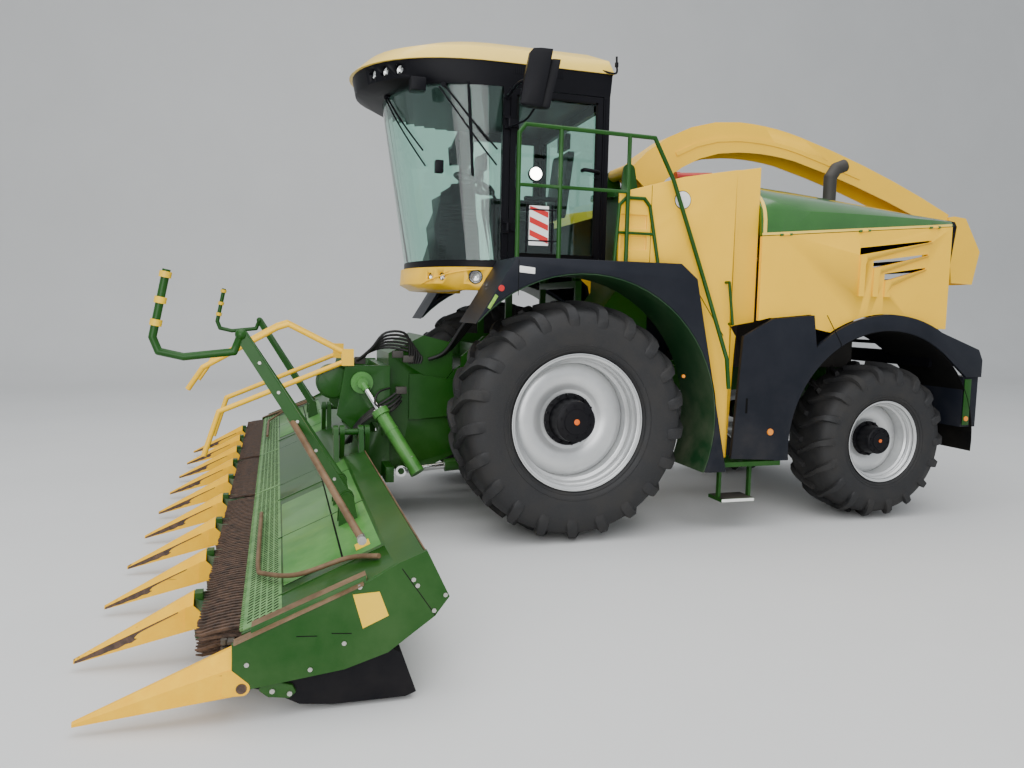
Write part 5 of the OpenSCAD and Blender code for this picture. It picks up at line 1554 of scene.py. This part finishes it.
def make_cylinders():
    rods, barrels, collars, pipes = (bmesh.new() for _ in range(4))
    for side in (1, -1):
        at = cylinder_line(side)
        add_rod(rods, at[4], at[38], 23, 20)
        add_rod(barrels, at[0], at[8], 38, 20, 34)
        for y, radius, sides in PIN_FLANGES:
            add_rod(barrels, (CYL_TOP[0], side * 541, CYL_TOP[2]), (CYL_TOP[0], side * y, CYL_TOP[2]), radius,
                    sides)
        add_rod(barrels, at[36], at[99], 57, 28)
        for first, last, radius in BARREL_RINGS:
            add_rod(barrels, at[first], at[last], radius, 28)
        add_collar_bolts(collars, at[30], at[38])
        for t in FITTINGS:
            x, y, z = at[t]
            add_rod(collars, (x, y, z), (x + 20, y, z + FITTING_TALL), 16, 10)
        (x0, y0, z0), (x1, y1, z1), (x2, y2, z2), (x3, y3, z3) = (at[t] for t in (92, 80, 46, 40))
        add_hose(pipes, [(x0 + 20, y0, z0 + 84), (x1 + 40, y1, z1 + 76), (x2 + 40, y2, z2 + 74),
                         (1400, side * 690, 1010), (1330, side * 600, 1090)], 9)
        add_hose(pipes, [(x3 + 20, y3, z3 + 84), (1540, side * 720, 1080), (1500, side * 640, 1160),
                         (1400, side * 575, 1190)], 9)
    keep_mesh(rods, "wing_cylinder_rods", chrome, "header", 40, replaced=("wing_cylinders",))
    # The barrels take the same deck green, so its painted light lies on them too.
    keep_mesh(barrels, "wing_cylinder_barrels", deck_green, "header", 35)
    keep_mesh(collars, "wing_cylinder_fittings", bare_steel, "header", 35)
    return keep_mesh(pipes, "wing_cylinder_pipes", rubber, "header", 50)


print(make_cylinders().name)


def make_cab_hose(k):
    s = k - 2
    line = [(430, 620 + 36 * s, 2010), (600, 600 + 34 * s, 1900 + 26 * s), (760, 520 + 30 * s, 1680 + 30 * s),
            (900, 440 + 26 * s, 1480 + 12 * s), (1040, 410 + 22 * s, 1430)]
    hose = make_piece(f"cab_hose_{k}", rubber, None, [(add_hose, line, 15)], 50)
    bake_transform(hose)
    return hose


print([make_cab_hose(k).name for k in range(5)])

# %% [markdown]
# Small things finish the flanks: the striped board behind the rail, the treads, the
# green ends of the bumper with an amber lamp, and red rams beside the spout.
# %% Board, treads, bumper and rams
BOARD_Y, RAM_Y = 1396, 500
BUMPER_GREEN = ((-3932, 880), (-4010, 880), (-4010, 1320), (-3932, 1320))


def make_board():
    make_piece("board", white_mark, "machine", [(add_box, (280, 1392, 2385), (440, 1400, 2690))])
    stripes = [(add_plate, ((284, z), (436, z + 60), (436, min(z + 105, 2686)), (284, z + 45)), 1399, 1401.5)
               for z in (2400, 2500, 2600)]
    make_piece("board_stripes", red_mark, "machine", stripes)
    posts = [(add_rod, (x, BOARD_Y, 2330), (x, BOARD_Y, 2700), 7, 8) for x in (250, 460)]
    ties = [(add_rod, (194, 1410, z), (464, BOARD_Y, z), 6, 8) for z in (2420, 2660)]
    return make_piece("board_frame", black_plastic, "machine", posts + ties)


def make_treads():
    plate = (add_box, (-1690, 1190, 280), (-1385, 1392, 284))
    edge = (add_box, (-1698, 1393, 252), (-1377, 1401, 278))
    make_piece("tread_plate", cast_iron, "machine", [plate])
    return make_piece("tread_edge", white_mark, "machine", [edge])


def make_bumper_ends():
    plates = [(add_plate, BUMPER_GREEN, *on_side(side, 1412, 1418)) for side in (1, -1)]
    ends = make_piece("bumper_green", green_paint, "machine", plates, 30, 0.002)
    for tag, side in SIDES:
        make_disc("bumper_marker_" + tag, (-3970, side * 1417, 942), 24, amber_lens, 9)
    return ends


def make_spout_rams():
    rams, arms = [], []
    for y in (RAM_Y, -RAM_Y):
        rams += [(add_rod, (-1300, y, 3160), (-1660, y, 3185), 42, 20),
                 (add_rod, (-1280, y, 3159), (-1320, y, 3161), 50, 20)]
        arms.append((add_rod, (-1240, y, 3040), (-1310, y, 3150), 22))
    make_piece("red_rams", red_cylinder, "machine", rams, 40)
    return make_piece("ram_arms", green_paint, "machine", arms, 40)


for made_piece in (make_board(), make_treads(), make_bumper_ends(), make_spout_rams()):
    print(made_piece.name)

# %% [markdown]
# The stage is a pale floor that curves up into a wall, and the light is a large
# soft source above, a weaker one from the camera's side, and an even sky.
# %% Stage and light
FLOOR_PROFILE = [(40, 0), (-12, 0), (-13.5, 0.25), (-14.6, 1.0), (-15.2, 2.2), (-15.5, 4), (-15.5, 18)]
FLOOR_HALF = 45


def make_stage():
    bm = bmesh.new()
    rows = [[bm.verts.new((x, y, z)) for x in (-FLOOR_HALF, FLOOR_HALF)] for y, z in FLOOR_PROFILE]
    for a, b in zip(rows, rows[1:]):
        bm.faces.new((a[0], a[1], b[1], b[0]))
    mesh = mesh_of(bm, "floor", outward=False)
    mesh.shade_smooth()
    mesh.materials.append(finish("floor_grey", (0.62, 0.62, 0.61), 0.75, dust=0.0, tone=0.02, patch=0.6))
    link_object("floor", mesh)


def make_light(name, at, size, power, towards=(0, 0, 1.5)):
    data = bpy.data.lights.new(name, "AREA")
    data.size = size
    data.energy = power
    light = link_object(name, data)
    light.location = at
    light.rotation_euler = (Vector(towards) - Vector(at)).to_track_quat("-Z", "Y").to_euler()


def make_sky(strength):
    world = bpy.data.worlds.new("sky")
    bpy.context.scene.world = world
    world.use_nodes = True
    backdrop = world.node_tree.nodes["Background"]
    backdrop.inputs["Color"].default_value = (0.86, 0.9, 0.95, 1)
    backdrop.inputs["Strength"].default_value = strength


make_stage()
make_sky(0.85)
make_light("overhead", (2, 3, 12), 14, 1500)
make_light("front_fill", (6, 12, 4.5), 9, 900)
print("stage ready")

print("pieces", len(made))
